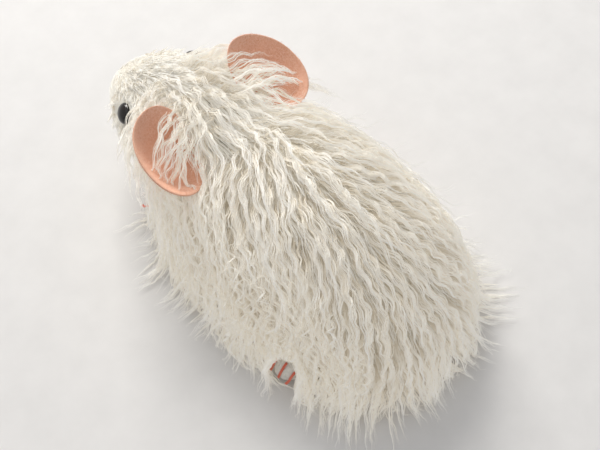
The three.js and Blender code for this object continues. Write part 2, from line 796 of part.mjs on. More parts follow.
// Pillars: shouldered rods, riveted over outside the plates
for (const [name, [x, y]] of Object.entries(pillarPlaces)) {
  const shoulder = plateInside - runningClearance;
  const tenon = plateInside + plateSheet + runningClearance;
  const half = [
    [pillarRadius, shoulder],
    [pillarTenonRadius, shoulder],
    [pillarTenonRadius, tenon],
    [pillarHeadRadius, tenon],
    [pillarHeadRadius, tenon + pillarHead],
    [0, tenon + pillarHead],
  ];
  const profile = [...half.map(([r, z]) => [r, -z]).reverse(), ...half];
  const rod = new THREE.LatheGeometry(profile.map(([r, z]) => new THREE.Vector2(r, z)), shaftSides / 2);
  add(name, rod.rotateX(Math.PI / 2), materials.steel, [arborY + x, arborHeight + y, 0], motor);
}

// Toothed wheels with involute flanks. Tooth nought points along +x before turning.
function toothedShape(teeth, module, flankPoints) {
  const pitch = (teeth * module) / 2;
  const base = pitch * Math.cos(pressureAngle);
  const tip = pitch + addendumShare * module;
  const root = pitch - dedendumShare * module;
  const involute = (angle) => Math.tan(angle) - angle;
  const halfAtPitch = Math.PI / (2 * teeth) - backlash / (2 * pitch);
  const halfAt = (r) =>
    halfAtPitch + involute(pressureAngle) - involute(Math.acos(Math.min(1, base / Math.max(r, base))));
  const start = Math.max(base, root);
  const flank = Array.from({ length: flankPoints }, (_, k) => start + ((tip - start) * k) / (flankPoints - 1));
  const side = [[root, halfAt(start)], ...(start > root ? flank : flank.slice(1)).map((r) => [r, halfAt(r)])];
  const outline = new THREE.Shape();
  for (let tooth = 0; tooth < teeth; tooth++) {
    const middle = (2 * Math.PI * tooth) / teeth;
    const around = [...side.map(([r, a]) => [r, middle - a]), ...side.map(([r, a]) => [r, middle + a]).reverse()];
    around.forEach(([r, a], i) => {
      const [x, y] = [r * Math.cos(a), r * Math.sin(a)];
      if (tooth || i) outline.lineTo(x, y);
      else outline.moveTo(x, y);
    });
  }
  return { outline, root };
}

// The gaps between a wheel's spokes
function crossings(spokes, inner, outer, spokeWidth) {
  return Array.from({ length: spokes }, (_, i) => {
    const middle = (2 * Math.PI * (i + 1 / 2)) / spokes;
    const hole = new THREE.Path();
    const arc = (r, from, to) => {
      for (let k = 0; k <= crossingSteps; k++) {
        const turn = from + ((to - from) * k) / crossingSteps;
        const [x, y] = [r * Math.cos(turn), r * Math.sin(turn)];
        if (hole.curves.length || hole.currentPoint.lengthSq()) hole.lineTo(x, y);
        else hole.moveTo(x, y);
      }
    };
    const reach = (r) => Math.PI / spokes - Math.asin(spokeWidth / 2 / r);
    arc(inner, middle - reach(inner), middle + reach(inner));
    arc(outer, middle + reach(outer), middle - reach(outer));
    hole.closePath();
    return hole;
  });
}

function toothedWheel(teeth, module, sheet, bore, web) {
  const { outline, root } = toothedShape(teeth, module, web ? wheelFlankPoints : pinionFlankPoints);
  outline.holes.push(roundHole(0, 0, boreRadius(bore)));
  if (web) outline.holes.push(...crossings(web.spokes, bore + web.hub, root - web.rim, web.width));
  return plate(outline, sheet);
}

const towardsSecond = Math.atan2(secondOffset.y, secondOffset.x);
const towardsDrive = Math.atan2(driveAxle.y - secondArbor.y, driveAxle.x - secondArbor.x);
const greatWeb = { spokes: greatSpokes, hub: greatHubWidth, rim: greatRimWidth, width: greatSpokeWidth };
const secondWeb = { spokes: secondSpokes, hub: secondHubWidth, rim: secondRimWidth, width: secondSpokeWidth };

const greatWheel = toothedWheel(greatTeeth, wheelModule, greatSheet, arborRadius, greatWeb);
const greatTurn = towardsSecond;
const clickPivot = new THREE.Vector2(clickPivotRadius, 0);
const rivetBore = new THREE.CylinderGeometry(
  boreRadius(clickRivetRadius), boreRadius(clickRivetRadius), greatSheet + 2 * overrun, shaftSides / 2,
).rotateX(Math.PI / 2).translate(clickPivot.x, clickPivot.y, greatSheet / 2);
add("great_wheel", cut(greatWheel, rivetBore), materials.brass, atArbor(greatStart), motor).rotation.z = greatTurn;

const secondPinionSheet = greatSheet + 2 * pinionOverlap;
add(
  "second_pinion",
  toothedWheel(secondPinionTeeth, wheelModule, secondPinionSheet, secondArborRadius),
  materials.steel,
  atSecond(greatStart - pinionOverlap),
  motor,
).rotation.z = towardsSecond + Math.PI + Math.PI / secondPinionTeeth;
add(
  "second_wheel",
  toothedWheel(secondTeeth, secondModule, secondSheet, secondArborRadius, secondWeb),
  materials.brass,
  atSecond(secondStart),
  motor,
).rotation.z = towardsDrive;
const drivePinionSheet = plateInside - secondStart + pinionOverlap - trainGap;
add(
  "drive_pinion",
  toothedWheel(drivePinionTeeth, secondModule, drivePinionSheet, driveAxleRadius),
  materials.steel,
  atDrive(secondStart - pinionOverlap),
  motor,
).rotation.z = towardsDrive + Math.PI + Math.PI / drivePinionTeeth;

// Shafts
const shaft = (radius, length) =>
  new THREE.CylinderGeometry(radius, radius, length, shaftSides).rotateX(Math.PI / 2);
const secondArborHalf = plateInside + plateSheet + trainGap;
add("second_arbor", shaft(secondArborRadius, 2 * secondArborHalf), materials.steel, atSecond(0), motor);
add("drive_axle", shaft(driveAxleRadius, 2 * driveAxleHalf), materials.steel, atDrive(0), motor);

// The winding arbor: a shaft with a hook for the spring and a squared end for the key
const arborLeft = plateInside + plateSheet + trainGap;
const arborRight = keyStart - keySocketDepth / 2;
const squareEnd = keyStart - keySocketDepth;
const hook = boxBetween(
  new THREE.Vector3(0, -arborHookWidth / 2, springStart + trainGap),
  new THREE.Vector3(arborRadius + arborHookProud, arborHookWidth / 2, springStart + springWidth - trainGap),
);
const roundPart = shaft(arborRadius, arborLeft - keyStart).translate(0, 0, (arborLeft + keyStart) / 2);
const squarePart = boxBetween(
  new THREE.Vector3(-keySquare / 2, -keySquare / 2, squareEnd),
  new THREE.Vector3(keySquare / 2, keySquare / 2, keyStart + overrun),
);
add("winding_arbor", join(roundPart, squarePart, hook), materials.steel, atArbor(0), motor);

// The ratchet on the arbor: saw teeth, with the click's tip in front of a steep face
const ratchetShape = new THREE.Shape();
const notchRadius = ratchetRadius - ratchetDepth;
for (let tooth = 0; tooth < ratchetTeeth; tooth++) {
  const face = (2 * Math.PI * tooth) / ratchetTeeth;
  const crest = face + ratchetCrestShare * ((2 * Math.PI) / ratchetTeeth);
  const [x, y] = [notchRadius * Math.cos(face), notchRadius * Math.sin(face)];
  if (tooth) ratchetShape.lineTo(x, y);
  else ratchetShape.moveTo(x, y);
  ratchetShape.lineTo(ratchetRadius * Math.cos(crest), ratchetRadius * Math.sin(crest));
}
ratchetShape.closePath();
ratchetShape.holes.push(roundHole(0, 0, boreRadius(arborRadius)));
const clickReach = notchRadius + seatGap;
const faceTurn = greatTurn + clickAngle + seatGap / clickReach;
add("ratchet_wheel", plate(ratchetShape, ratchetSheet), materials.steel, atArbor(ratchetStart), motor).rotation.z = faceTurn;

// The click: an eye on the great wheel's rivet, with a pointed arm towards the ratchet
const clickTip = new THREE.Vector2(clickReach * Math.cos(clickAngle), clickReach * Math.sin(clickAngle));
const arm = clickTip.clone().sub(clickPivot);
const across = new THREE.Vector2(-arm.y, arm.x).setLength(clickWidth / 2);
const clickEye = shaft(clickEyeRadius, clickSheet).translate(0, 0, clickSheet / 2);
const armShape = new THREE.Shape(
  clickArmShares.map(([ahead, beside]) => arm.clone().multiplyScalar(ahead).addScaledVector(across, beside)),
);
const clickBore = shaft(boreRadius(clickRivetRadius), clickSheet + 2 * overrun).translate(0, 0, clickSheet / 2);
const clickMount = new THREE.Group();
clickMount.position.set(...atArbor(0));
clickMount.rotation.z = greatTurn;
motor.add(clickMount);
const clickStart = greatStart - runningClearance - clickSheet;
const clickPlate = cut(join(clickEye, plate(armShape, clickSheet)), clickBore);
add("click", clickPlate, materials.steel, [clickPivot.x, clickPivot.y, clickStart], clickMount);
const clickRivet = [
  [0, -runningClearance - clickSheet - rivetHead],
  [clickRivetHeadRadius, -runningClearance - clickSheet - rivetHead],
  [clickRivetHeadRadius, -2 * runningClearance - clickSheet],
  [clickRivetRadius, -2 * runningClearance - clickSheet],
  [clickRivetRadius, greatSheet],
  [0, greatSheet],
].map(([r, z]) => new THREE.Vector2(r, z));
add(
  "click_rivet",
  new THREE.LatheGeometry(clickRivet, shaftSides / 2).rotateX(Math.PI / 2),
  materials.steel,
  [clickPivot.x, clickPivot.y, greatStart],
  clickMount,
);

// A strip of even thickness along a path
function strip(path, thickness) {
  const beside = (sign) =>
    path.map((point, i) => {
      const heading = path[Math.min(i + 1, path.length - 1)].clone().sub(path[Math.max(i - 1, 0)]);
      return new THREE.Vector2(-heading.y, heading.x).setLength((sign * thickness) / 2).add(point);
    });
  return new THREE.Shape([...beside(-1), ...beside(1).reverse()]);
}

// The click's spring: a thin strip from a foot on the great wheel, bearing on the click's back
const clickSpringPath = clickSpringPathShares.map(([x, y]) => new THREE.Vector2(x, y).multiplyScalar(clickPivotRadius));
const clickSpringFoot = shaft(clickSpringFootRadius, clickSpringSheet)
  .translate(clickSpringPath[0].x, clickSpringPath[0].y, clickSheet - clickSpringSheet / 2);
add(
  "click_spring",
  join(plate(strip(clickSpringPath, clickSpringSheet), clickSheet), clickSpringFoot),
  materials.steel,
  [0, 0, clickStart],
  clickMount,
);

// The mainspring: a spiral from the arbor's hook, then straight to a pillar and round it
const anchor = new THREE.Vector2(...pillarPlaces.pillar_front_lower);
const wrapRadius = pillarRadius + seatGap + springSheet / 2;
const leaveAngle = Math.atan2(anchor.y, anchor.x) - Math.acos((springOuter - wrapRadius) / anchor.length());
function springPath() {
  const steps = springTurns * springStepsPerTurn;
  const points = [];
  for (let k = 0; k <= steps; k++) {
    const turn = leaveAngle - ((steps - k) * 2 * Math.PI) / springStepsPerTurn;
    const radius = springInner + ((springOuter - springInner) * k) / steps;
    points.push(new THREE.Vector2(radius * Math.cos(turn), radius * Math.sin(turn)));
  }
  for (let k = 0; k <= springWrapSteps; k++) {
    const turn = leaveAngle + (springWrapAngle * k) / springWrapSteps;
    points.push(new THREE.Vector2(wrapRadius * Math.cos(turn), wrapRadius * Math.sin(turn)).add(anchor));
  }
  return points;
}
add(
  "mainspring",
  plate(strip(springPath(), springSheet), springWidth),
  materials.steel,
  atArbor(springStart),
  motor,
);
const springPitch = (springOuter - springInner) / springTurns;
console.log("mainspring: least gap between turns " + (springPitch - springSheet).toFixed(2) + " mm");

// Drive wheels: dished discs on the axle, with rubber tyres
function turned(profile, sides) {
  const points = [...profile, profile[0]].map(([r, z]) => new THREE.Vector2(r, z));
  return new THREE.LatheGeometry(points, sides).rotateY(Math.PI / sides).rotateX(Math.PI / 2);
}
const wheelBore = boreRadius(driveAxleRadius, wheelSides);
const wheelProfile = [
  [wheelBore, -driveWheelWidth / 2 - driveWheelHubProud],
  [driveWheelHubRadius, -driveWheelWidth / 2 - driveWheelHubProud],
  [driveWheelHubRadius, -driveWheelDish / 2],
  [driveWheelRadius - driveWheelDish, -driveWheelDish / 2],
  [driveWheelRadius - driveWheelDish, -driveWheelWidth / 2],
  [driveWheelRadius, -driveWheelWidth / 2],
  [driveWheelRadius, driveWheelWidth / 2],
  [driveWheelRadius - driveWheelDish, driveWheelWidth / 2],
  [driveWheelRadius - driveWheelDish, driveWheelDish / 2],
  [driveWheelHubRadius, driveWheelDish / 2],
  [driveWheelHubRadius, driveWheelWidth / 2 + driveWheelHubProud],
  [wheelBore, driveWheelWidth / 2 + driveWheelHubProud],
];
const tyreInner = driveWheelRadius + runningClearance;
const tyreProfile = [
  [tyreInner, -tyreWidth / 2],
  [tyreRadius - tyreBead, -tyreWidth / 2],
  [tyreRadius, -tyreWidth / 2 + tyreBead],
  [tyreRadius, tyreWidth / 2 - tyreBead],
  [tyreRadius - tyreBead, tyreWidth / 2],
  [tyreInner, tyreWidth / 2],
];
for (const [label, side] of [["left", 1], ["right", -1]]) {
  const depth = side * (wheelInside + tyreWidth / 2);
  add("drive_wheel_" + label, turned(wheelProfile, wheelSides), materials.shell, atDrive(depth), motor);
  add("tyre_" + label, turned(tyreProfile, wheelSides), materials.rubber, atDrive(depth), motor);
}

// The front wheel in its bracket under the chest
const frontBore = boreRadius(frontAxleRadius, wheelSides);
const frontProfile = [
  [frontBore, -frontWheelWidth / 2],
  [frontWheelRadius, -frontWheelWidth / 2],
  [frontWheelRadius, frontWheelWidth / 2],
  [frontBore, frontWheelWidth / 2],
];
const frontPlace = [frontWheelY, frontAxleHeight, 0];
add("front_wheel", turned(frontProfile, wheelSides), materials.shell, frontPlace, motor);
const frontAxleHalf = bracketHalfWidth + bracketSheet;
add("front_axle", shaft(frontAxleRadius, 2 * frontAxleHalf), materials.steel, frontPlace, motor);
const bracketFoot = panFloor + panSheet + seatGap - frontAxleHeight;
const cheek = (side) => {
  const [near, far] = [bracketHalfWidth - bracketSheet, bracketHalfWidth].map((x) => side * x);
  const wall = boxBetween(
    new THREE.Vector3(-bracketHalfLength, bracketFoot, Math.min(near, far)),
    new THREE.Vector3(bracketHalfLength, bracketRise, Math.max(near, far)),
  );
  const tabEnd = side * (bracketHalfWidth + bracketTab);
  const tab = boxBetween(
    new THREE.Vector3(-bracketHalfLength, bracketFoot, Math.min(near, tabEnd)),
    new THREE.Vector3(bracketHalfLength, bracketFoot + bracketSheet, Math.max(near, tabEnd)),
  );
  return join(wall, tab);
};
const bridge = boxBetween(
  new THREE.Vector3(-bracketHalfLength, frontWheelRadius + bracketGap, -bracketHalfWidth),
  new THREE.Vector3(bracketHalfLength, frontWheelRadius + bracketGap + bracketSheet, bracketHalfWidth),
);
const legs = [1, -1].map((side) =>
  boxBetween(
    new THREE.Vector3(-bracketHalfLength, 0, side > 0 ? bracketHalfWidth - bracketSheet : -bracketHalfWidth),
    new THREE.Vector3(
      bracketHalfLength,
      frontWheelRadius + bracketGap + bracketSheet,
      side > 0 ? bracketHalfWidth : bracketSheet - bracketHalfWidth,
    ),
  ),
);
add(
  "front_bracket",
  cut(
    join(cheek(1), cheek(-1), ...legs, bridge),
    shaft(boreRadius(frontAxleRadius), 2 * (bracketHalfWidth + overrun)),
  ),
  materials.tin,
  frontPlace,
  motor,
);

// The lined hole in the coat, and the key: a socketed stem with two eyed wings
const liningInside = -(shellHalfWidth + seatGap + overrun);
const liningProfile = [
  [liningRadius - liningWall, liningOutside - liningFlangeSheet],
  [liningFlange, liningOutside - liningFlangeSheet],
  [liningFlange, liningOutside],
  [liningRadius, liningOutside],
  [liningRadius, liningInside],
  [liningRadius - liningWall, liningInside],
];
add("key_lining", turned(liningProfile, shaftSides), materials.brass, atArbor(0), motor);

const stem = shaft(keyStemRadius, keyStemLength).translate(0, 0, keyStart - keyStemLength / 2);
const socket = boxBetween(
  new THREE.Vector3(-keySquare / 2 - runningClearance, -keySquare / 2 - runningClearance, squareEnd - runningClearance),
  new THREE.Vector3(keySquare / 2 + runningClearance, keySquare / 2 + runningClearance, keyStart + overrun),
);
const wing = (side) => {
  const middle = side * (keySpan / 2 - keyDepth / 2);
  const round = new THREE.CylinderGeometry(keyDepth / 2, keyDepth / 2, keyBladeSheet, softSides);
  const neck = boxBetween(
    new THREE.Vector3(-keyBladeSheet / 2, Math.min(0, middle), keyEnd + keyDepth * keyNeckShares[0]),
    new THREE.Vector3(keyBladeSheet / 2, Math.max(0, middle), keyEnd + keyDepth * keyNeckShares[1]),
  );
  const eye = new THREE.CylinderGeometry(keyEyeRadius, keyEyeRadius, keyBladeSheet + 2 * overrun, softSides);
  const set = (disc) => disc.rotateZ(Math.PI / 2).translate(0, middle, keyEnd + keyDepth / 2);
  return cut(join(set(round), neck), set(eye));
};
const key = cut(join(stem, wing(1), wing(-1)), socket);
add("winding_key", key, materials.brass, atArbor(0), motor).rotation.z = keyTurn;

// The origin is under the middle of the whole mouse.
mouse.position.y = -(coatBack + headFront - noseProud) / 2;

export default mouse;
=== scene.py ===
"""Looks for a long-haired clockwork mouse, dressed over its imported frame.

Sizes in the classes are millimetres, as in the frame's own drawing, and become metres when a
mesh is made. The mouse faces -Y, its left side is +X, and it stands on Z = 0.
"""

import json
import logging
import math
from dataclasses import dataclass
from enum import Enum
from typing import Callable, Sequence

import bmesh
import bpy
import numpy as np
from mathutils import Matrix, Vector, noise
from mathutils.bvhtree import BVHTree


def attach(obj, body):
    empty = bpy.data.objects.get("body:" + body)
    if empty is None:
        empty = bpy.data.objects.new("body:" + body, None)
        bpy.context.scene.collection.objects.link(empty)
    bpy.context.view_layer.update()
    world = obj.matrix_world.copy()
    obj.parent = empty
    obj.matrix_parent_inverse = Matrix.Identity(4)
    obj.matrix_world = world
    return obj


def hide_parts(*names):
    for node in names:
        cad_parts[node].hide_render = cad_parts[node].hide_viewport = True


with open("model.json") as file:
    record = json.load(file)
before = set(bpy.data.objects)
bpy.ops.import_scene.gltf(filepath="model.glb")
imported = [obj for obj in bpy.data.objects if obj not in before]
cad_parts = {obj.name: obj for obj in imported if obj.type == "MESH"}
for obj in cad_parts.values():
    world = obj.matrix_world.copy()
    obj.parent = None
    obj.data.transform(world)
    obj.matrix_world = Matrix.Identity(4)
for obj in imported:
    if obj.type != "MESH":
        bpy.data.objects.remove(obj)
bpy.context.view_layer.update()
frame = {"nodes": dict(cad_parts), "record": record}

log = logging.getLogger("mouse")
MM = 0.001
BODY = "chassis"
FIBRE_MAP = "OFBake"
SHADES = 32  # columns of shade on the fibres' map
SWIRL_SEED = 1
EYE_AT = (20.4, -64.9, 57.0)
KEY_AT = (-0.9, 27.0)  # Y and Z of the key's axis
KEY_SIDE = -20.0  # the key's own pocket lies beyond this X
RGB = tuple[float, float, float]
Point = tuple[float, float, float]
Span = tuple[float, float]
Triple = tuple[np.ndarray, np.ndarray, np.ndarray]
Socket = bpy.types.NodeSocket
Outputs = bpy.types.NodeOutputs


class Side(Enum):
    """The mouse's left and right, as the sign of X."""

    LEFT = 1
    RIGHT = -1

    @property
    def label(self) -> str:
        """The side as it stands in a piece's name."""
        return self.name.lower()

    def of(self, place: Sequence[float]) -> np.ndarray:
        """A place or a way on the left, carried over to this side."""
        return np.array(place) * (self.value, 1, 1)

    def picks(self, points: np.ndarray) -> np.ndarray:
        """The numbers of the points that lie on this side."""
        return np.flatnonzero(np.sign(points[:, 0] + 1e-9) == self.value)


def linear(colour: RGB) -> tuple[float, ...]:
    """A screen colour of 0 to 255 as the linear colour and alpha that shaders take."""
    parts = [c / 255 for c in colour]
    return tuple(c / 12.92 if c <= 0.04045 else ((c + 0.055) / 1.055) ** 2.4 for c in parts) + (1.0,)


def unit(vectors: np.ndarray) -> np.ndarray:
    """Vectors of length one, along the last axis."""
    return vectors / np.maximum(np.linalg.norm(vectors, axis=-1, keepdims=True), 1e-9)


def smooth(value: np.ndarray | float, low: float, high: float) -> np.ndarray:
    """A soft step from 0 at low to 1 at high."""
    t = np.clip((np.asarray(value, float) - low) / (high - low), 0, 1)
    return t * t * (3 - 2 * t)


def share_at(shares: Sequence[float], t: float) -> float:
    """Reads evenly spaced shares smoothly.

    Args:
        shares: Values at even steps from 0 to 1.
        t: Where to read, from 0 to 1.

    Returns:
        The value there, on a curve through the shares.
    """
    place = t * (len(shares) - 1)
    i = min(int(place), len(shares) - 2)
    f = place - i
    a, b, c, d = (shares[min(max(k, 0), len(shares) - 1)] for k in (i - 1, i, i + 1, i + 2))
    return b + f / 2 * (c - a + f * (2 * a - 5 * b + 4 * c - d + f * (3 * (b - c) + d - a)))


def placed(name: str, mesh: bpy.types.Mesh) -> bpy.types.Object:
    """Puts a mesh in the scene, with its place in its points."""
    made = bpy.data.objects.new(name, mesh)
    bpy.context.scene.collection.objects.link(made)
    return made


def settled(
    piece: bpy.types.Object,
    finish: bpy.types.Material | None = None,
    node: str = "",
) -> bpy.types.Object:
    """Gives a piece its finish and its body, and hides the CAD node that it stands for.

    Args:
        piece: The piece.
        finish: Its material, unless it wears one already.
        node: The CAD node that it stands for, if there is one.

    Returns:
        The piece.
    """
    if finish:
        piece.data.materials.append(finish)
    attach(piece, BODY)
    if node:
        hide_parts(node)
    return piece


# ---------------------------------------------------------------- node trees


class Graph:
    """A node tree written as calls, most of which return a socket."""

    def __init__(self, tree: bpy.types.NodeTree) -> None:
        """Keeps the tree that the calls add to."""
        self.tree = tree

    def put(self, socket: Socket, value: object) -> None:
        """Links an input to a socket, or sets it to a plain value."""
        if isinstance(value, Socket):
            self.tree.links.new(value, socket)
        else:
            socket.default_value = value

    def node(self, kind: str, inputs: dict | None = None, **settings: object) -> bpy.types.Node:
        """Adds one node.

        Args:
            kind: Blender's name for the node.
            inputs: Values or sockets, by input name or number.
            **settings: The node's own options.

        Returns:
            The new node.
        """
        made = self.tree.nodes.new(kind)
        for name, value in settings.items():
            setattr(made, name, value)
        for key, value in (inputs or {}).items():
            self.put(made.inputs[key], value)
        return made

    def out(self, kind: str, inputs: dict | None = None, **settings: object) -> Socket:
        """Adds one node, and gives its first result."""
        return self.node(kind, inputs, **settings).outputs[0]

    def maths(self, operation: str, *values: Socket | float) -> Socket:
        """A Math node's result."""
        return self.out("ShaderNodeMath", dict(enumerate(values)), operation=operation)

    def vectors(self, operation: str, *values: Socket | Sequence[float]) -> Socket:
        """A Vector Math node's vector."""
        return self.out("ShaderNodeVectorMath", dict(enumerate(values)), operation=operation)

    def scaled(self, vector: Socket, factor: Socket | float) -> Socket:
        """A vector times a number."""
        return self.out("ShaderNodeVectorMath", {0: vector, "Scale": factor}, operation="SCALE")

    def joined(self, *parts: Socket | float) -> Socket:
        """Two or three numbers as a vector."""
        return self.out("ShaderNodeCombineXYZ", dict(enumerate(parts)))

    def split(self, vector: Socket) -> Outputs:
        """A vector's three numbers."""
        return self.node("ShaderNodeSeparateXYZ", {0: vector}).outputs

    def ranged(self, value: Socket, *ends: Socket | float) -> Socket:
        """A value carried from one range (ends 0 and 1) to another (2 and 3), and held there."""
        return self.out("ShaderNodeMapRange", dict(enumerate((value, *ends))))

    def blend(self, factor: Socket, a: object, b: object, mode: str = "MIX") -> Socket:
        """Two colours mixed."""
        inputs = {0: factor, 6: a, 7: b}
        return self.node("ShaderNodeMix", inputs, data_type="RGBA", blend_type=mode).outputs[2]

    def grain(self, vector: Socket, scale: object, detail: float = 3.0, rough: float = 0.6) -> Socket:
        """A noise value from 0 to 1."""
        inputs = {"Vector": vector, "Scale": scale, "Detail": detail, "Roughness": rough}
        return self.out("ShaderNodeTexNoise", inputs)


class Maker(Graph):
    """A Geometry Nodes tree with named inputs, run once on a mesh and then taken off it."""

    KINDS = {int: "NodeSocketInt", float: "NodeSocketFloat"}

    def __init__(self, name: str, sizes: dict[str, int | float]) -> None:
        """Makes the tree's sockets.

        Args:
            name: What the tree makes.
            sizes: The tree's named inputs and their usual values.
        """
        super().__init__(bpy.data.node_groups.new(name, "GeometryNodeTree"))
        face = self.tree.interface
        for way in ("OUTPUT", "INPUT"):
            face.new_socket("Shape", in_out=way, socket_type="NodeSocketGeometry")
        for label, value in sizes.items():
            socket = face.new_socket(label, in_out="INPUT", socket_type=self.KINDS[type(value)])
            socket.default_value = value
        face.new_socket("Finish", in_out="INPUT", socket_type="NodeSocketMaterial")
        self.start = self.tree.nodes.new("NodeGroupInput")

    def size(self, label: str) -> Socket:
        """The socket of one named input."""
        return self.start.outputs[label]

    def named(self, name: str, kind: str = "FLOAT") -> Socket:
        """An attribute read by its name."""
        return self.out("GeometryNodeInputNamedAttribute", {0: name}, data_type=kind)

    def store(
        self, shape: Socket, name: str, value: Socket, kind: str = "FLOAT", domain: str = "POINT"
    ) -> Socket:
        """Keeps a value on the shape under a name."""
        inputs = {0: shape, 2: name, 3: value}
        return self.out("GeometryNodeStoreNamedAttribute", inputs, data_type=kind, domain=domain)

    def luck(self, low: Socket | float, high: float, ident: Socket, turn: int = 0) -> Socket:
        """A random number for each thing, from the tree's seed and a turn of its own."""
        seed = self.maths("ADD", self.size("Seed"), float(turn))
        inputs = {2: low, 3: high, 7: ident, 8: seed}
        return self.node("FunctionNodeRandomValue", inputs, data_type="FLOAT").outputs[1]

    def moved(self, lines: Socket, offset: Socket) -> Socket:
        """Lines moved by an offset."""
        return self.out("GeometryNodeSetPosition", {0: lines, 3: offset})

    def copied(self, label: str) -> Outputs:
        """Curves from the source's edges, each as often as one input says, and the copies' numbers."""
        curves = self.out("GeometryNodeMeshToCurve", {0: self.size("Shape")})
        inputs = {0: curves, 2: self.size(label)}
        return self.node("GeometryNodeDuplicateElements", inputs, domain="SPLINE").outputs

    def fibres(self, lines: Socket, radius: Socket, sides: int) -> Socket:
        """A closed skin round each line, with its place round and along kept.

        Args:
            lines: The fibres' middle lines.
            radius: Half their thickness.
            sides: Faces round each one.

        Returns:
            The fibres as a mesh, with around and tall on its points.
        """
        lines = self.store(lines, "tall", self.out("GeometryNodeSplineParameter"))
        ring = self.out("GeometryNodeCurvePrimitiveCircle", {"Resolution": sides, "Radius": 1.0})
        index = self.out("GeometryNodeInputIndex")
        ring = self.store(ring, "around", self.maths("DIVIDE", index, float(sides)))
        skin = self.out("GeometryNodeCurveToMesh", {0: lines, 1: ring, 2: radius, 3: True})
        return self.out("GeometryNodeSetShadeSmooth", {0: skin, 2: sides > 4})

    def end(self, fibres: Socket) -> None:
        """Closes the tree: real geometry in its finish, mapped by shade across and length upwards."""
        column = self.maths("FLOOR", self.maths("MULTIPLY", self.named("tone"), SHADES - 0.01))
        across = self.maths("MULTIPLY_ADD", self.named("around"), 0.7, 0.15)
        u = self.maths("DIVIDE", self.maths("ADD", column, across), float(SHADES))
        v = self.maths("MULTIPLY_ADD", self.named("tall"), 0.98, 0.01)
        mapped = self.store(fibres, FIBRE_MAP, self.joined(u, v), "FLOAT2", "CORNER")
        real = self.out("GeometryNodeRealizeInstances", {0: mapped})
        worn = self.out("GeometryNodeSetMaterial", {0: real, 2: self.size("Finish")})
        self.node("NodeGroupOutput", {0: worn})

    def run(
        self, source: bpy.types.Object, name: str, finish: bpy.types.Material, **sizes: float
    ) -> bpy.types.Object:
        """Makes a plain mesh piece from a source mesh, which is removed.

        Args:
            source: The object that the tree starts from.
            name: The new piece's name.
            finish: The material that it wears.
            **sizes: Inputs that differ from their usual values, with _ for a space.

        Returns:
            The new piece.
        """
        modifier = source.modifiers.new(name, "NODES")
        modifier.node_group = self.tree
        values = {label.replace("_", " "): value for label, value in sizes.items()}
        values["Finish"] = finish
        for item in self.tree.interface.items_tree:
            if item.in_out == "INPUT" and item.name in values:
                modifier[item.identifier] = values.pop(item.name)
        if values:
            raise ValueError(f"{self.tree.name} has no input named {sorted(values)}")
        seen = bpy.context.evaluated_depsgraph_get()
        mesh = bpy.data.meshes.new_from_object(source.evaluated_get(seen), depsgraph=seen)
        source.modifiers.remove(modifier)
        bpy.data.objects.remove(source)
        mesh.name = name
        kept = (FIBRE_MAP, "material_index", "sharp_face")
        made = [a for a in mesh.attributes if not a.is_required and not a.is_internal]
        for spare in [a.name for a in made if a.name not in kept]:
            mesh.attributes.remove(mesh.attributes[spare])
        return placed(name, mesh)


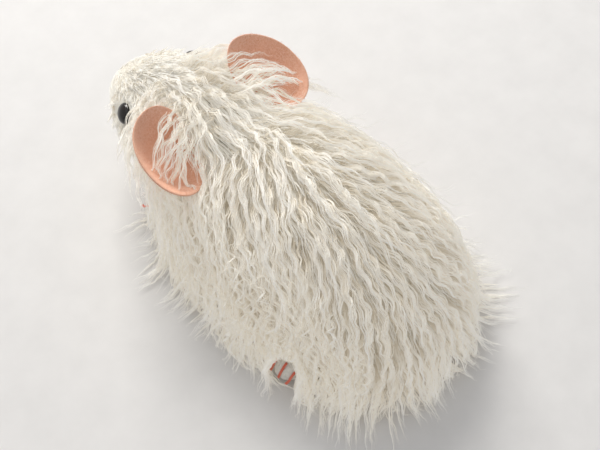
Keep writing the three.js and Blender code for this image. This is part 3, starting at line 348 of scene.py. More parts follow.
def lock_maker() -> Maker:
    """The tree that draws out each lock's middle line into a bunch of tapering strands."""
    sizes = {
        "Strands": 10,
        "Floor gap": 0.4 * MM,
        "Root spread": 3.0 * MM,
        "Tip spread": 0.3 * MM,
        "Gather": 2.0,
        "Thickness": 0.17 * MM,
        "Frizz": 0.55 * MM,
        "Shortest": 0.72,
        "Seed": 1,
    }
    g = Maker("Locks of long pile", sizes)
    lines, copy = g.copied("Strands")
    ident = g.maths("MULTIPLY_ADD", g.named("lock", "INT"), 64.0, copy)
    lines = g.store(lines, "strand", ident, "INT", "CURVE")
    strand, along = g.named("strand", "INT"), g.named("along")
    turn = g.luck(0.0, math.tau, strand)
    reach = g.maths("SQRT", g.luck(0.02, 1.0, strand, 1))
    loose = g.maths("POWER", g.maths("SUBTRACT", 1.0, along), g.size("Gather"))
    spread = {0: loose, 2: g.size("Tip spread"), 3: g.size("Root spread")}
    spread = g.maths("MULTIPLY", g.out("ShaderNodeMix", spread, data_type="FLOAT"), reach)
    arrows = g.named("side", "FLOAT_VECTOR"), g.named("lift", "FLOAT_VECTOR")
    sideways = g.scaled(arrows[0], g.maths("MULTIPLY", g.maths("COSINE", turn), spread))
    upwards = g.maths("MULTIPLY", g.maths("MULTIPLY", g.maths("SINE", turn), spread), 0.6)
    upwards = g.scaled(arrows[1], upwards)
    place = (g.maths("MULTIPLY", along, 3.2), g.maths("MULTIPLY", strand, 0.371), g.size("Seed"))
    inputs = {"Vector": g.joined(*place), "Scale": 1.0, "Detail": 1.0}
    wander = g.node("ShaderNodeTexNoise", inputs).outputs[1]
    wander = g.vectors("SUBTRACT", wander, (0.5, 0.5, 0.5))
    frizz = g.maths("MULTIPLY", g.size("Frizz"), g.ranged(along, 0.0, 0.4, 0.5, 4.0))
    wander = g.scaled(wander, frizz)
    lines = g.moved(lines, g.vectors("ADD", g.vectors("ADD", sideways, upwards), wander))
    x, y, z = g.split(g.out("GeometryNodeInputPosition"))
    above = g.joined(x, y, g.maths("MAXIMUM", z, g.size("Floor gap")))
    lines = g.out("GeometryNodeSetPosition", {0: lines, 2: above})
    end = g.luck(g.size("Shortest"), 1.0, strand, 2)
    lines = g.out("GeometryNodeTrimCurve", {0: lines, 3: end}, mode="FACTOR")
    own = g.maths("MULTIPLY_ADD", g.luck(-0.5, 0.5, strand, 3), 0.3, g.named("tone"))
    lines = g.store(lines, "tone", g.ranged(own, 0.0, 1.0, 0.0, 0.999))
    thinning = g.maths("POWER", g.out("GeometryNodeSplineParameter"), 1.8)
    taper = g.maths("SUBTRACT", 1.0, g.maths("MULTIPLY", thinning, 0.9))
    thick = g.maths("MULTIPLY", g.luck(0.7, 1.3, strand, 4), g.size("Thickness"))
    g.end(g.fibres(lines, g.maths("MULTIPLY", taper, thick), 3))
    return g


def pile_maker() -> Maker:
    """The tree that sets short bent tufts all over a surface, combed by its own arrows."""
    sizes = {"Tufts per square metre": 1.75e6, "Stand": 0.42, "Tousle": 0.26, "Slenderness": 0.036}
    g = Maker("Short pile", sizes | {"Seed": 1})
    thickly = g.maths("MULTIPLY", g.size("Tufts per square metre"), g.named("cover"))
    inputs = {0: g.size("Shape"), 4: thickly, 6: g.size("Seed")}
    points = g.node("GeometryNodeDistributePointsOnFaces", inputs).outputs
    comb = g.named("comb", "FLOAT_VECTOR")
    index = g.out("GeometryNodeInputIndex")
    scatter = g.joined(*(g.luck(-1.0, 1.0, index, k) for k in (1, 2, 3)))
    lean = g.vectors("ADD", g.scaled(points[1], g.size("Stand")), comb)
    lean = g.vectors("ADD", lean, g.scaled(scatter, g.size("Tousle")))
    turned = g.out("FunctionNodeAlignRotationToVector", {2: lean}, axis="Z")
    inputs = {0: turned, 2: comb}
    turned = g.out("FunctionNodeAlignRotationToVector", inputs, axis="X", pivot_axis="Z")
    inputs = {"Resolution": 2, "Start": (0, 0, 0), "Middle": (0, 0, 0.55), "End": (0.3, 0, 0.95)}
    bend = g.out("GeometryNodeCurveQuadraticBezier", inputs)
    thinning = g.maths("MULTIPLY", g.out("GeometryNodeSplineParameter"), 0.88)
    taper = g.maths("SUBTRACT", 1.0, thinning)
    tuft = g.fibres(bend, g.maths("MULTIPLY", taper, g.size("Slenderness")), 3)
    tall = g.maths("MULTIPLY", g.named("pile"), g.luck(0.65, 1.25, index, 4))
    inputs = {0: points[0], 2: tuft, 5: turned, 6: g.joined(tall, tall, tall)}
    tufts = g.out("GeometryNodeInstanceOnPoints", inputs)
    tufts = g.store(tufts, "tone", g.luck(0.0, 0.999, index, 5), "FLOAT", "INSTANCE")
    g.end(g.out("GeometryNodeRealizeInstances", {0: tufts}))
    return g


def thread_maker() -> Maker:
    """The tree that lays a few threads side by side along each stitch."""
    g = Maker("Stitches", {"Threads": 3, "Apart": 0.38 * MM, "Thickness": 0.2 * MM, "Seed": 1})
    lines, copy = g.copied("Threads")
    apart = g.maths("MULTIPLY", g.maths("SUBTRACT", copy, 1.0), g.size("Apart"))
    ident = g.maths("MULTIPLY_ADD", g.named("lock", "INT"), 8.0, copy)
    lines = g.moved(lines, g.scaled(g.named("side", "FLOAT_VECTOR"), apart))
    lines = g.store(lines, "tone", g.luck(0.0, 0.999, ident))
    g.end(g.fibres(lines, g.size("Thickness"), 8))
    return g


# ---------------------------------------------------------------- finishes


@dataclass(frozen=True)
class Mottle:
    """How a second colour spreads over a first: in cloudy patches, over a finer grain."""

    patches: float
    grain: float
    low: float
    high: float
    strength: float


def mottle_nodes(g: Graph, given: Outputs) -> tuple[Socket, ...]:
    """Fills the group that mixes two colours in patches, with a grain for the surface.

    Args:
        g: The group's graph.
        given: Its inputs.

    Returns:
        The colour, how much of it is patch, and the height of the grain.
    """
    cloud = g.grain(given["Place"], given["Patches"], 4.0, 0.68)
    mask = g.ranged(cloud, given["Low"], given["High"], 0.0, given["Strength"])
    colour = g.blend(mask, given["Base"], given["Patch"])
    return colour, mask, g.grain(given["Place"], given["Grain"])


def fibre_nodes(g: Graph, given: Outputs) -> tuple[Socket, ...]:
    """Fills the group that colours a fibre from root to tip, with its darker root as painted shade
    deep in the pile, and from lock tone to lock tone.

    Args:
        g: The group's graph.
        given: Its inputs.

    Returns:
        The colour.
    """
    shade, along, _ = g.split(given["Place"])
    # The root colour, darker than the middle and tip, is painted shade deep in the pile.
    low = g.blend(g.ranged(along, 0.0, 0.38, 0.0, 1.0), given["Root"], given["Middle"])
    high = g.blend(g.ranged(along, 0.38, 1.0, 0.0, 1.0), low, given["Tip"])
    tone = g.maths("MULTIPLY", g.ranged(shade, 0.15, 0.95, 0.0, 1.0), given["Warmth"])
    return (g.blend(tone, high, given["Warm"], "MULTIPLY"),)


class Effect(Enum):
    """The shared shader groups: what fills each, its inputs and its outputs, by kind of socket."""

    MOTTLE = (
        mottle_nodes,
        {
            "Vector": ("Place",),
            "Float": ("Patches", "Grain", "Low", "High", "Strength"),
            "Color": ("Base", "Patch"),
        },
        {"Color": ("Colour",), "Float": ("Mask", "Height")},
    )
    FIBRE = (
        fibre_nodes,
        {"Vector": ("Place",), "Float": ("Warmth",), "Color": ("Root", "Middle", "Tip", "Warm")},
        {"Color": ("Colour",)},
    )

    def group(self) -> bpy.types.ShaderNodeTree:
        """The effect's group, built on its first use.

        Returns:
            The group.
        """
        name = self.name.title()
        if name in bpy.data.node_groups:
            return bpy.data.node_groups[name]
        fill, *faces = self.value
        g = Graph(bpy.data.node_groups.new(name, "ShaderNodeTree"))
        for way, face in zip(("INPUT", "OUTPUT"), faces):
            for kind, labels in face.items():
                for label in labels:
                    g.tree.interface.new_socket(label, in_out=way, socket_type="NodeSocket" + kind)
        g.node("NodeGroupOutput", dict(enumerate(fill(g, g.node("NodeGroupInput").outputs))))
        return g.tree


class Paint(Graph):
    """A material being made round its Principled shader."""

    def __init__(self, name: str) -> None:
        """Starts the material."""
        self.material = bpy.data.materials.new(name)
        self.material.use_nodes = True
        super().__init__(self.material.node_tree)
        self.shader = self.tree.nodes["Principled BSDF"]

    def place(self) -> Socket:
        """Object coordinates."""
        return self.node("ShaderNodeTexCoord").outputs["Object"]

    def effect(self, effect: Effect, values: dict[str, object]) -> Outputs:
        """Places a shared group with its own values, by input name."""
        return self.node("ShaderNodeGroup", values, node_tree=effect.group()).outputs

    def mottle(self, place: Socket, look: Mottle, base: object, patch: RGB) -> Outputs:
        """Places the shared mottle.

        Args:
            place: Where its pattern is read.
            look: How its patches spread.
            base: The colour under them, or a socket.
            patch: The patches' own colour.

        Returns:
            Its colour, mask and height.
        """
        values = {label.capitalize(): value for label, value in vars(look).items()}
        values |= {"Place": place, "Patch": linear(patch)}
        values["Base"] = base if isinstance(base, Socket) else linear(base)
        return self.effect(Effect.MOTTLE, values)

    def relief(self, height: Socket, distance: float, strength: float) -> Socket:
        """A fine relief for the shader's Normal, its distance in metres."""
        inputs = {"Height": height, "Distance": distance, "Strength": strength}
        return self.out("ShaderNodeBump", inputs)

    def finished(self, **values: object) -> bpy.types.Material:
        """Sets or links the shader's own inputs, with _ for a space, and gives the material."""
        for label, value in values.items():
            self.put(self.shader.inputs[label.replace("_", " ")], value)
        return self.material


@dataclass(frozen=True)
class FibreFinish:
    """Pile fibres or threads, coloured from root to tip and from lock to lock; a root colour darker
    than the tip is painted shade deep in the pile.
    """

    name: str
    root: RGB
    middle: RGB
    tip: RGB
    warm: RGB
    warmth: float = 0.35
    roughness: float = 0.5
    sheen: float = 0.4
    glow: float = 0.14

    def material(self) -> bpy.types.Material:
        """Builds the material, read off the fibre's own map.

        Returns:
            The material. Its faint glow stands for light that white fibres pass to each other.
        """
        paint = Paint(self.name)
        colours = {"Root": self.root, "Middle": self.middle, "Tip": self.tip, "Warm": self.warm}
        values = {label: linear(colour) for label, colour in colours.items()}
        values |= {"Place": paint.out("ShaderNodeUVMap", uv_map=FIBRE_MAP), "Warmth": self.warmth}
        return paint.finished(
            Base_Color=paint.effect(Effect.FIBRE, values)["Colour"],
            Roughness=self.roughness,
            Sheen_Weight=self.sheen,
            Sheen_Roughness=0.4,
            Specular_IOR_Level=0.35,
            Emission_Color=linear(self.warm),
            Emission_Strength=self.glow,
        )


@dataclass(frozen=True)
class FleeceFinish:
    """The dense bed of the pile, or loose wadding: mottled, with a soft uneven surface."""

    name: str
    deep: RGB
    pale: RGB
    patches: float = 260.0
    height: float = 0.0006

    def material(self) -> bpy.types.Material:
        """Builds the material.

        Returns:
            The material, patterned in the object's own space.
        """
        paint = Paint(self.name)
        look = Mottle(self.patches, self.patches * 6, low=0.35, high=0.65, strength=1.0)
        cloud = paint.mottle(paint.place(), look, self.deep, self.pale)
        lumps = paint.maths("MULTIPLY_ADD", cloud["Height"], 0.5, cloud["Mask"])
        return paint.finished(
            Base_Color=cloud["Colour"],
            Normal=paint.relief(lumps, self.height, 0.7),
            Roughness=0.95,
            Sheen_Weight=0.3,
            Sheen_Roughness=0.5,
        )


@dataclass(frozen=True)
class FeltFinish:
    """Pressed felt: short matted fibres, blotched with slightly darker and paler dye."""

    name: str
    deep: RGB
    body: RGB
    pale: RGB
    fibres: float = 1500.0

    def material(self) -> bpy.types.Material:
        """Builds the material.

        Returns:
            The material, patterned in the object's own space.
        """
        paint = Paint(self.name)
        place = paint.place()
        inputs = {"Vector": place, "Scale": 600.0}
        swirl = paint.scaled(paint.node("ShaderNodeTexNoise", inputs).outputs[1], 0.002)
        look = Mottle(self.fibres, self.fibres, low=0.38, high=0.66, strength=0.8)
        fibres = paint.mottle(paint.vectors("ADD", place, swirl), look, self.deep, self.pale)
        look = Mottle(150.0, self.fibres, low=0.3, high=0.75, strength=0.85)
        return paint.finished(
            Base_Color=paint.mottle(place, look, fibres["Colour"], self.body)["Colour"],
            Normal=paint.relief(fibres["Height"], 0.0002, 0.7),
            Roughness=0.92,
            Sheen_Weight=0.35,
            Sheen_Roughness=0.45,
            Sheen_Tint=linear((255, 225, 205)),
        )


@dataclass(frozen=True)
class MouldedFinish:
    """Moulded plastic or rubber: a fine grain in the skin and slight dulling."""

    name: str
    body: RGB
    worn: RGB
    roughness: float
    grain: float = 900.0

    def material(self) -> bpy.types.Material:
        """Builds the material.

        Returns:
            The material, patterned in the object's own space.
        """
        paint = Paint(self.name)
        look = Mottle(90.0, self.grain, low=0.5, high=0.75, strength=0.6)
        scuffs = paint.mottle(paint.place(), look, self.body, self.worn)
        dullest = min(1.0, self.roughness + 0.2)
        return paint.finished(
            Base_Color=scuffs["Colour"],
            Roughness=paint.ranged(scuffs["Mask"], 0.0, 0.6, self.roughness, dullest),
            Normal=paint.relief(scuffs["Height"], 0.00004, 0.6),
        )


@dataclass(frozen=True)
class MetalFinish:
    """Rolled, stamped or turned metal: fine drawn lines, and tarnish in patches."""

    name: str
    bright: RGB
    tarnish: RGB
    roughness: float
    stretch: Point = (1.0, 14.0, 14.0)

    def material(self) -> bpy.types.Material:
        """Builds the material.

        Returns:
            The material, patterned in the object's own space.
        """
        paint = Paint(self.name)
        place = paint.place()
        look = Mottle(130.0, 600.0, low=0.45, high=0.75, strength=0.75)
        stain = paint.mottle(place, look, self.bright, self.tarnish)
        lines = paint.grain(paint.vectors("MULTIPLY", place, self.stretch), 220.0)
        dull = paint.ranged(stain["Mask"], 0.0, 0.75, self.roughness, self.roughness + 0.2)
        return paint.finished(
            Base_Color=stain["Colour"],
            Roughness=paint.maths("ADD", paint.ranged(lines, 0.3, 0.7, -0.06, 0.08), dull),
            Normal=paint.relief(lines, 0.00002, 0.5),
            Metallic=1.0,
        )


@dataclass(frozen=True)
class BeadFinish:
    """Glossy moulded eye: nearly black, with the faintest swirl of brown."""

    name: str
    body: RGB
    swirl: RGB

    def material(self) -> bpy.types.Material:
        """Builds the material.

        Returns:
            The material, patterned in the object's own space.
        """
        paint = Paint(self.name)
        look = Mottle(320.0, 900.0, low=0.4, high=0.7, strength=1.0)
        return paint.finished(
            Base_Color=paint.mottle(paint.place(), look, self.body, self.swirl)["Colour"],
            Roughness=0.05,
            Specular_IOR_Level=0.3,
            Coat_Weight=0.15,
            Coat_Roughness=0.02,
        )


@dataclass(frozen=True)
class Finishes:
    """Every finish on the mouse, by the piece that wears it."""

    # Each fibre finish's root colour, where darker than its tip, is painted shade deep in the pile.
    locks: FibreFinish = FibreFinish(
        "Long pile", (200, 189, 168), (245, 242, 235), (252, 252, 250), (238, 231, 218)
    )
    face: FibreFinish = FibreFinish(
        "Short pile", (228, 224, 215), (241, 239, 234), (247, 247, 245), (240, 235, 224),
        warmth=0.2, roughness=0.7, sheen=0.35, glow=0.1,
    )
    fuzz: FibreFinish = FibreFinish(
        "Felt fuzz", (198, 140, 114), (216, 166, 144), (236, 202, 184), (240, 200, 178),
        warmth=0.3, roughness=0.8, sheen=0.3, glow=0.0,
    )
    thread: FibreFinish = FibreFinish(
        "Coral thread", (236, 140, 118), (240, 148, 126), (236, 138, 116), (246, 170, 150),
        warmth=0.5, roughness=0.55, sheen=0.1, glow=0.0,
    )
    bed: FleeceFinish = FleeceFinish("Pile bed", (220, 212, 194), (240, 235, 224))
    wadding: FleeceFinish = FleeceFinish(
        "Wadding", (226, 222, 212), (244, 242, 236), patches=180.0, height=0.001
    )
    felt: FeltFinish = FeltFinish("Ear felt", (222, 156, 126), (242, 188, 160), (250, 214, 192))
    nose: FeltFinish = FeltFinish("Nose felt", (196, 108, 100), (216, 132, 122), (232, 160, 148))
    bead: BeadFinish = BeadFinish("Eye bead", (10, 8, 8), (26, 16, 12))
    shell: MouldedFinish = MouldedFinish("Moulded shell", (120, 114, 108), (150, 146, 140), 0.45)
    wheel: MouldedFinish = MouldedFinish("Wheel plastic", (92, 88, 84), (120, 116, 112), 0.4)
    rubber: MouldedFinish = MouldedFinish("Tyre rubber", (38, 37, 36), (72, 70, 66), 0.7, 1600.0)
    tin: MetalFinish = MetalFinish(
        "Tinplate", (206, 206, 202), (150, 144, 134), 0.3, stretch=(1.0, 1.0, 10.0)
    )
    brass: MetalFinish = MetalFinish("Stamped brass", (214, 176, 104), (150, 112, 62), 0.28)
    steel: MetalFinish = MetalFinish("Turned steel", (176, 178, 180), (112, 106, 98), 0.3)
    spring: MetalFinish = MetalFinish("Blued spring steel", (96, 104, 122), (70, 62, 58), 0.3)


# ---------------------------------------------------------------- soft forms


def ring_mesh(name: str, rings: np.ndarray, poles: Sequence[Sequence[float]]) -> bpy.types.Mesh:
    """A closed skin over rings of equal count, from one pole to the other.

    Args:
        name: The mesh's name.
        rings: Points in millimetres, as ring, place round it, and X, Y, Z.
        poles: The points that close the first and the last ring.

    Returns:
        The mesh in metres, smooth, with its faces outwards.
    """
    loops, count, _ = rings.shape
    points = np.vstack([[poles[0]], rings.reshape(-1, 3), [poles[1]]]) * MM
    last = len(points) - 1
    faces = []
    for k in range(count):
        after = (k + 1) % count
        faces.append((0, 1 + k, 1 + after))
        faces.append((last, 1 + (loops - 1) * count + after, 1 + (loops - 1) * count + k))
        for ring in range(loops - 1):
            low, high = 1 + ring * count, 1 + (ring + 1) * count
            faces.append((low + k, high + k, high + after, low + after))
    return skin_mesh(name, points, faces)


def skin_mesh(name: str, points: np.ndarray, faces: list[tuple[int, ...]]) -> bpy.types.Mesh:
    """A smooth closed mesh in metres, turned the right way out by the sign of its volume."""
    mesh = bpy.data.meshes.new(name)
    mesh.from_pydata(points.tolist(), [], faces)
    mesh.shade_smooth()
    a, b, c = triangles(mesh)
    if np.einsum("ij,ij->i", a, np.cross(b, c)).sum() < 0:
        mesh.flip_normals()
    return mesh


def triangles(mesh: bpy.types.Mesh) -> Triple:
    """The first, second and third corners of a mesh's triangles."""
    mesh.calc_loop_triangles()
    at = np.array([v.co for v in mesh.vertices])
    corners = np.array([t.vertices for t in mesh.loop_triangles])
    return tuple(at[corners[:, k]] for k in range(3))


def nearness(mesh: bpy.types.Mesh) -> BVHTree:
    """A search tree over a mesh, in millimetres."""
    faces = [p.vertices for p in mesh.polygons]
    return BVHTree.FromPolygons([v.co / MM for v in mesh.vertices], faces)


@dataclass(frozen=True)
class BodyForm:
    """The body's outer form: a mound with a flat base, round at both ends."""

    front: float = -58.9
    length: float = 156.0
    half_width: float = 49.5
    height: float = 78.0
    base: float = 1.2
    roundness: float = 0.93
    fullness: float = 0.8
    widths: tuple[float, ...] = (0.84, 0.85, 0.87, 0.9, 0.92, 0.95, 0.99, 1.03, 1.04, 1.02)
    heights: tuple[float, ...] = (0.88, 0.9, 0.94, 0.98, 1, 1, 0.97, 0.91, 0.84, 0.8)

    def mesh(
        self, name: str, inset: float, loops: int = 64, sides: int = 56, footing: float = 0.0
    ) -> bpy.types.Mesh:
        """The form drawn in by an inset.

        Args:
            name: The mesh's name.
            inset: How far inside the pile's mean surface it lies.
            loops: Divisions along the body.
            sides: Divisions over the back.
            footing: How far below the base it runs.

        Returns:
            The closed mesh.
        """
        rings = []
        for ring in range(1, loops):
            s = ring / loops
            swell = math.sin(math.pi * s) ** self.fullness
            y = self.front + inset + (self.length - 2 * inset) * (1 - math.cos(math.pi * s)) / 2
            w = (self.half_width - inset) * share_at(self.widths, s) * swell
            h = (self.height - inset) * share_at(self.heights, s) * swell
            turns = np.linspace(0, math.pi, sides + 1)
            x = w * np.sign(np.cos(turns)) * np.abs(np.cos(turns)) ** self.roundness
            z = self.base + h * np.abs(np.sin(turns)) ** self.roundness
            points = np.stack([x, np.full_like(x, y), z], 1)
            foot = np.array([[points[k, 0], y, self.base - footing] for k in (0, -1)])
            rings.append(np.vstack([foot[:1], points, foot[1:]]) if footing else points)
        low = self.base - footing / 2
        ends = (self.front + inset, self.front + self.length - inset)
        return ring_mesh(name, np.array(rings), tuple((0, y, low) for y in ends))


@dataclass(frozen=True)
class HeadForm:
    """The head's outer form: an egg with its own crown and jaw, dropping towards the snout."""

    front: float = -95.9
    length: float = 106.0
    half_width: float = 31.0
    crown: float = 30.5
    jaw: float = 27.0
    middle: float = 48.0
    drop: float = 10.0
    widths: tuple[float, ...] = (0.88, 0.82, 0.84, 0.92, 1, 1.05, 1.07, 1.05, 1)
    crowns: tuple[float, ...] = (0.84, 0.86, 0.92, 0.98, 1, 1.02, 1.03, 1.02, 1)
    jaws: tuple[float, ...] = (0.74, 0.74, 0.8, 0.9, 1, 1.04, 1, 0.96, 0.9)
    face_inset: float = 1.8
    nape_inset: float = 5.0

    def inset(self, y: float) -> float:
        """How deep the bed of the pile lies, from the short face to the long nape."""
        return float(self.face_inset + (self.nape_inset - self.face_inset) * smooth(y, -76, -44))

    def mesh(self, name: str, loops: int = 56, sides: int = 56) -> bpy.types.Mesh:
        """The bed of the head's pile.

        Args:
            name: The mesh's name.
            loops: Divisions along the head.
            sides: Divisions round it.

        Returns:
            The closed mesh.
        """
        rings = []
        for ring in range(1, loops):
            s = ring / loops
            y = self.front + self.length * (1 - math.cos(math.pi * s)) / 2
            inset = self.inset(y)
            y = self.front + inset + (self.length - 2 * inset) * (1 - math.cos(math.pi * s)) / 2
            swell = math.sin(math.pi * s)
            turns = np.arange(sides) * math.tau / sides
            rise = np.sin(turns)
            up = (self.crown - inset) * share_at(self.crowns, s)
            down = (self.jaw - inset) * share_at(self.jaws, s)
            x = (self.half_width - inset) * share_at(self.widths, s) * swell * np.cos(turns)
            z = self.middle - self.drop * (1 - s) ** 2 + np.where(rise > 0, up, down) * swell * rise
            rings.append(np.stack([x, np.full_like(x, y), z], 1))
        first = self.front + self.inset(self.front)
        last = self.front + self.length - self.nape_inset
        poles = ((0, first, self.middle - self.drop), (0, last, self.middle))
        return ring_mesh(name, np.array(rings), poles)


def roughened(mesh: bpy.types.Mesh, height: float, scale: float) -> None:
    """Moves a mesh's points in and out a little, so that a stuffed form isn't perfectly even.

    Args:
        mesh: The mesh to change.
        height: The most that a point moves, in millimetres.
        scale: The size of the lumps, in millimetres.
    """
    for vertex in mesh.vertices:
        at = vertex.co / (scale * MM)
        bump = noise.noise(at) + 0.5 * noise.noise(at * 2.3)
        vertex.co += vertex.normal * (bump * height * MM)


def cad_copy(node: str) -> bpy.types.Object:
    """A welded copy of a CAD node's mesh."""
    made = placed(node + "_copy", frame["nodes"][node].data.copy())
    work = bmesh.new()
    work.from_mesh(made.data)
    bmesh.ops.remove_doubles(work, verts=work.verts, dist=1e-6)
    work.to_mesh(made.data)
    work.free()
    made.data.materials.clear()
    return made


def common_part(name: str, one: bpy.types.Object, other: bpy.types.Object) -> bpy.types.Object:
    """What two closed pieces have in common, as a new piece. Both are removed."""
    cut = one.modifiers.new("common", "BOOLEAN")
    cut.operation, cut.solver, cut.object = "INTERSECT", "EXACT", other
    seen = bpy.context.evaluated_depsgraph_get()
    mesh = bpy.data.meshes.new_from_object(one.evaluated_get(seen), depsgraph=seen)
    bpy.data.objects.remove(one)
    bpy.data.objects.remove(other)
    mesh.name = name
    mesh.shade_smooth()
    mesh.set_sharp_from_angle(angle=math.radians(50))
    return placed(name, mesh)


# ---------------------------------------------------------------- the pile


def key_distance(points: np.ndarray) -> np.ndarray:
    """How far places are from the key's axis."""
    return np.hypot(points[:, 1] - KEY_AT[0], points[:, 2] - KEY_AT[1])


def push_out(off: np.ndarray, room: float, where: np.ndarray | bool = True) -> np.ndarray:
    """How points move to leave a round room.

    Args:
        off: Where they are from its middle.
        room: Its radius.
        where: Which of them may be moved.

    Returns:
        Their moves, which are nought outside the room.
    """
    far = np.linalg.norm(off, axis=1)
    move = off / np.maximum(far, 0.1)[:, None] * (room - far)[:, None]
    return np.where(((far < room) & where)[:, None], move, 0.0)


@dataclass
class Hide:
    """Where the bed of the pile is, how the pile is combed over it, and what it keeps clear of."""

    body: BodyForm
    head: HeadForm
    body_inset: float = 5.0
    body_footing: float = 8.0
    swirl: float = 0.7
    swirl_size: float = 19.0
    key_room: float = 14.4
    eye_middle: Point = (22.5, -67.0, 59.0)
    eye_room: float = 8.8
    paw_middle: Point = (46.0, 47.8, 6.0)
    paw_parting: Point = (0.39, 0.35, 0.85)
    paw_height: float = 20.0
    paw_room: float = 7.2
    ear_gap: float = 1.0
    floor_gap: float = 0.5

    def __post_init__(self) -> None:
        """Builds the search trees, and fixes the swirls, which otherwise differ in each run."""
        noise.seed_set(SWIRL_SEED)
        self.skins = [
            nearness(self.body.mesh("body_bed", self.body_inset, 48, 40, self.body_footing)),
            nearness(self.head.mesh("head_bed", 48, 40)),
        ]
        self.ears: list[BVHTree] = []

    def probe(self, points: np.ndarray) -> Triple:
        """Finds how far points lie above the bed.

        Args:
            points: Places in millimetres.

        Returns:
            The height above the bed, the way out of it, and how much each place is on the head.
        """
        heights = np.empty((2, len(points)))
        ways = np.empty((2, len(points), 3))
        for k, tree in enumerate(self.skins):
            for i, point in enumerate(points):
                at, normal, _, _ = tree.find_nearest(Vector(point))
                away = Vector(point) - at
                heights[k, i] = math.copysign(away.length, away.dot(normal))
                ways[k, i] = normal
        weights = np.exp(-(heights - heights.min(0)) / 3.0)
        weights /= weights.sum(0)
        out = unit((ways * weights[:, :, None]).sum(0))
        return heights.min(0), out, weights[1]

    def comb(self, points: np.ndarray, out: np.ndarray, headness: np.ndarray) -> np.ndarray:
        """The way the pile lies: back along the spine, down the flanks, outwards on the floor.

        Args:
            points: Places in millimetres.
            out: The way out of the bed there.
            headness: How much each place is on the head.

        Returns:
            Unit vectors along the surface.
        """
        x, y, z = points.T
        back = np.stack([0.010 * x, np.ones_like(x), np.zeros_like(x)], 1)
        rump = smooth(y, 45, 95)[:, None]
        back += rump * np.stack([0.02 * x, 0 * x, -0.5 + 0 * x], 1)
        fall = (0.95 - 0.45 * headness)[:, None] * np.array([0.0, 0.0, -1.0])
        away = unit(np.stack([x, (y - 20) * 0.5, 0 * z], 1))
        low = (1 - smooth(z, 3, 30))[:, None]
        swirls = [noise.noise_vector(Vector(p) / self.swirl_size) for p in points]
        flow = back * (1 - 0.7 * low) + fall * (1 - 0.35 * low) + away * low * 1.1
        flow = flow + np.array(swirls) * self.swirl
        flow -= out * np.einsum("ij,ij->i", flow, out)[:, None] * (1 - low)
        return unit(flow)

    def clear(self, points: np.ndarray, floor: np.ndarray) -> np.ndarray:
        """Moves points out of the floor, the key's room, the eyes, the hind paws and the ears.

        Args:
            points: Places in millimetres.
            floor: How low each one may lie.

        Returns:
            The moved places.
        """
        points = points.copy()
        points[:, 2] = np.maximum(points[:, 2], floor)
        points[:, 1:] += push_out(points[:, 1:] - KEY_AT, self.key_room, points[:, 0] < KEY_SIDE)
        for side in Side:
            points += push_out(points - side.of(self.eye_middle), self.eye_room)
            axis = unit(side.of(self.paw_parting))
            off = points - side.of(self.paw_middle)
            off -= axis * np.clip(off @ axis, 0, self.paw_height)[:, None]
            points += push_out(off, self.paw_room)
        for tree in self.ears:
            for i, point in enumerate(points):
                at, normal, _, _ = tree.find_nearest(Vector(point), 1.6)
                if at is not None and (Vector(point) - at).dot(normal) < self.ear_gap:
                    points[i] = at + normal * self.ear_gap
        return points


@dataclass(frozen=True)
class Lay:
    """How one layer of the long pile is grown."""

    name: str
    spacing: float
    longer: float = 1.0
    rise: Span = (0.3, 3.3)
    tips: Span = (-1.0, 2.5)
    wave: float = 1.0
    pitch: Span = (8.0, 12.5)
    splay: float = 0.1
    outward: float = 0.0
    low: Point = (-1.0, -79.0, 3.5)
    high: Point = (99.0, 120.0, 99.0)
    seed: int = 3


def guides(name: str, grown: dict[str, np.ndarray], picked: np.ndarray) -> bpy.types.Object:
    """Puts some of the grown lines in a mesh of edges, with what the trees read.

    Args:
        name: The mesh's name.
        grown: Lines in millimetres, their sideways and upward arrows, and each one's shade.
        picked: Which lines to take.

    Returns:
        The object that a tree starts from.
    """
    lines = grown["line"][picked] * MM
    count, each, _ = lines.shape
    start = np.arange(count * each).reshape(count, each)
    edges = np.stack([start[:, :-1].ravel(), start[:, 1:].ravel()], 1)
    mesh = bpy.data.meshes.new(name)
    mesh.from_pydata(lines.reshape(-1, 3).tolist(), edges.tolist(), [])
    tones = np.repeat(grown["tone"][picked], each)
    set_values(mesh, along=np.tile(np.linspace(0, 1, each), count), tone=tones)
    lock = mesh.attributes.new("lock", "INT", "POINT")
    lock.data.foreach_set("value", np.repeat(picked, each).astype(np.int32))
    set_arrows(mesh, side=grown["side"][picked], lift=grown["lift"][picked])
    return placed(name, mesh)


def set_values(mesh: bpy.types.Mesh, **values: np.ndarray) -> None:
    """Keeps numbers on a mesh's points, by name."""
    for label, value in values.items():
        made = mesh.attributes.new(label, "FLOAT", "POINT")
        made.data.foreach_set("value", value.astype(np.float32))


def set_arrows(mesh: bpy.types.Mesh, **arrows: np.ndarray) -> None:
    """Keeps vectors on a mesh's points, by name."""
    for label, arrow in arrows.items():
        made = mesh.attributes.new(label, "FLOAT_VECTOR", "POINT")
        made.data.foreach_set("vector", arrow.astype(np.float32).ravel())


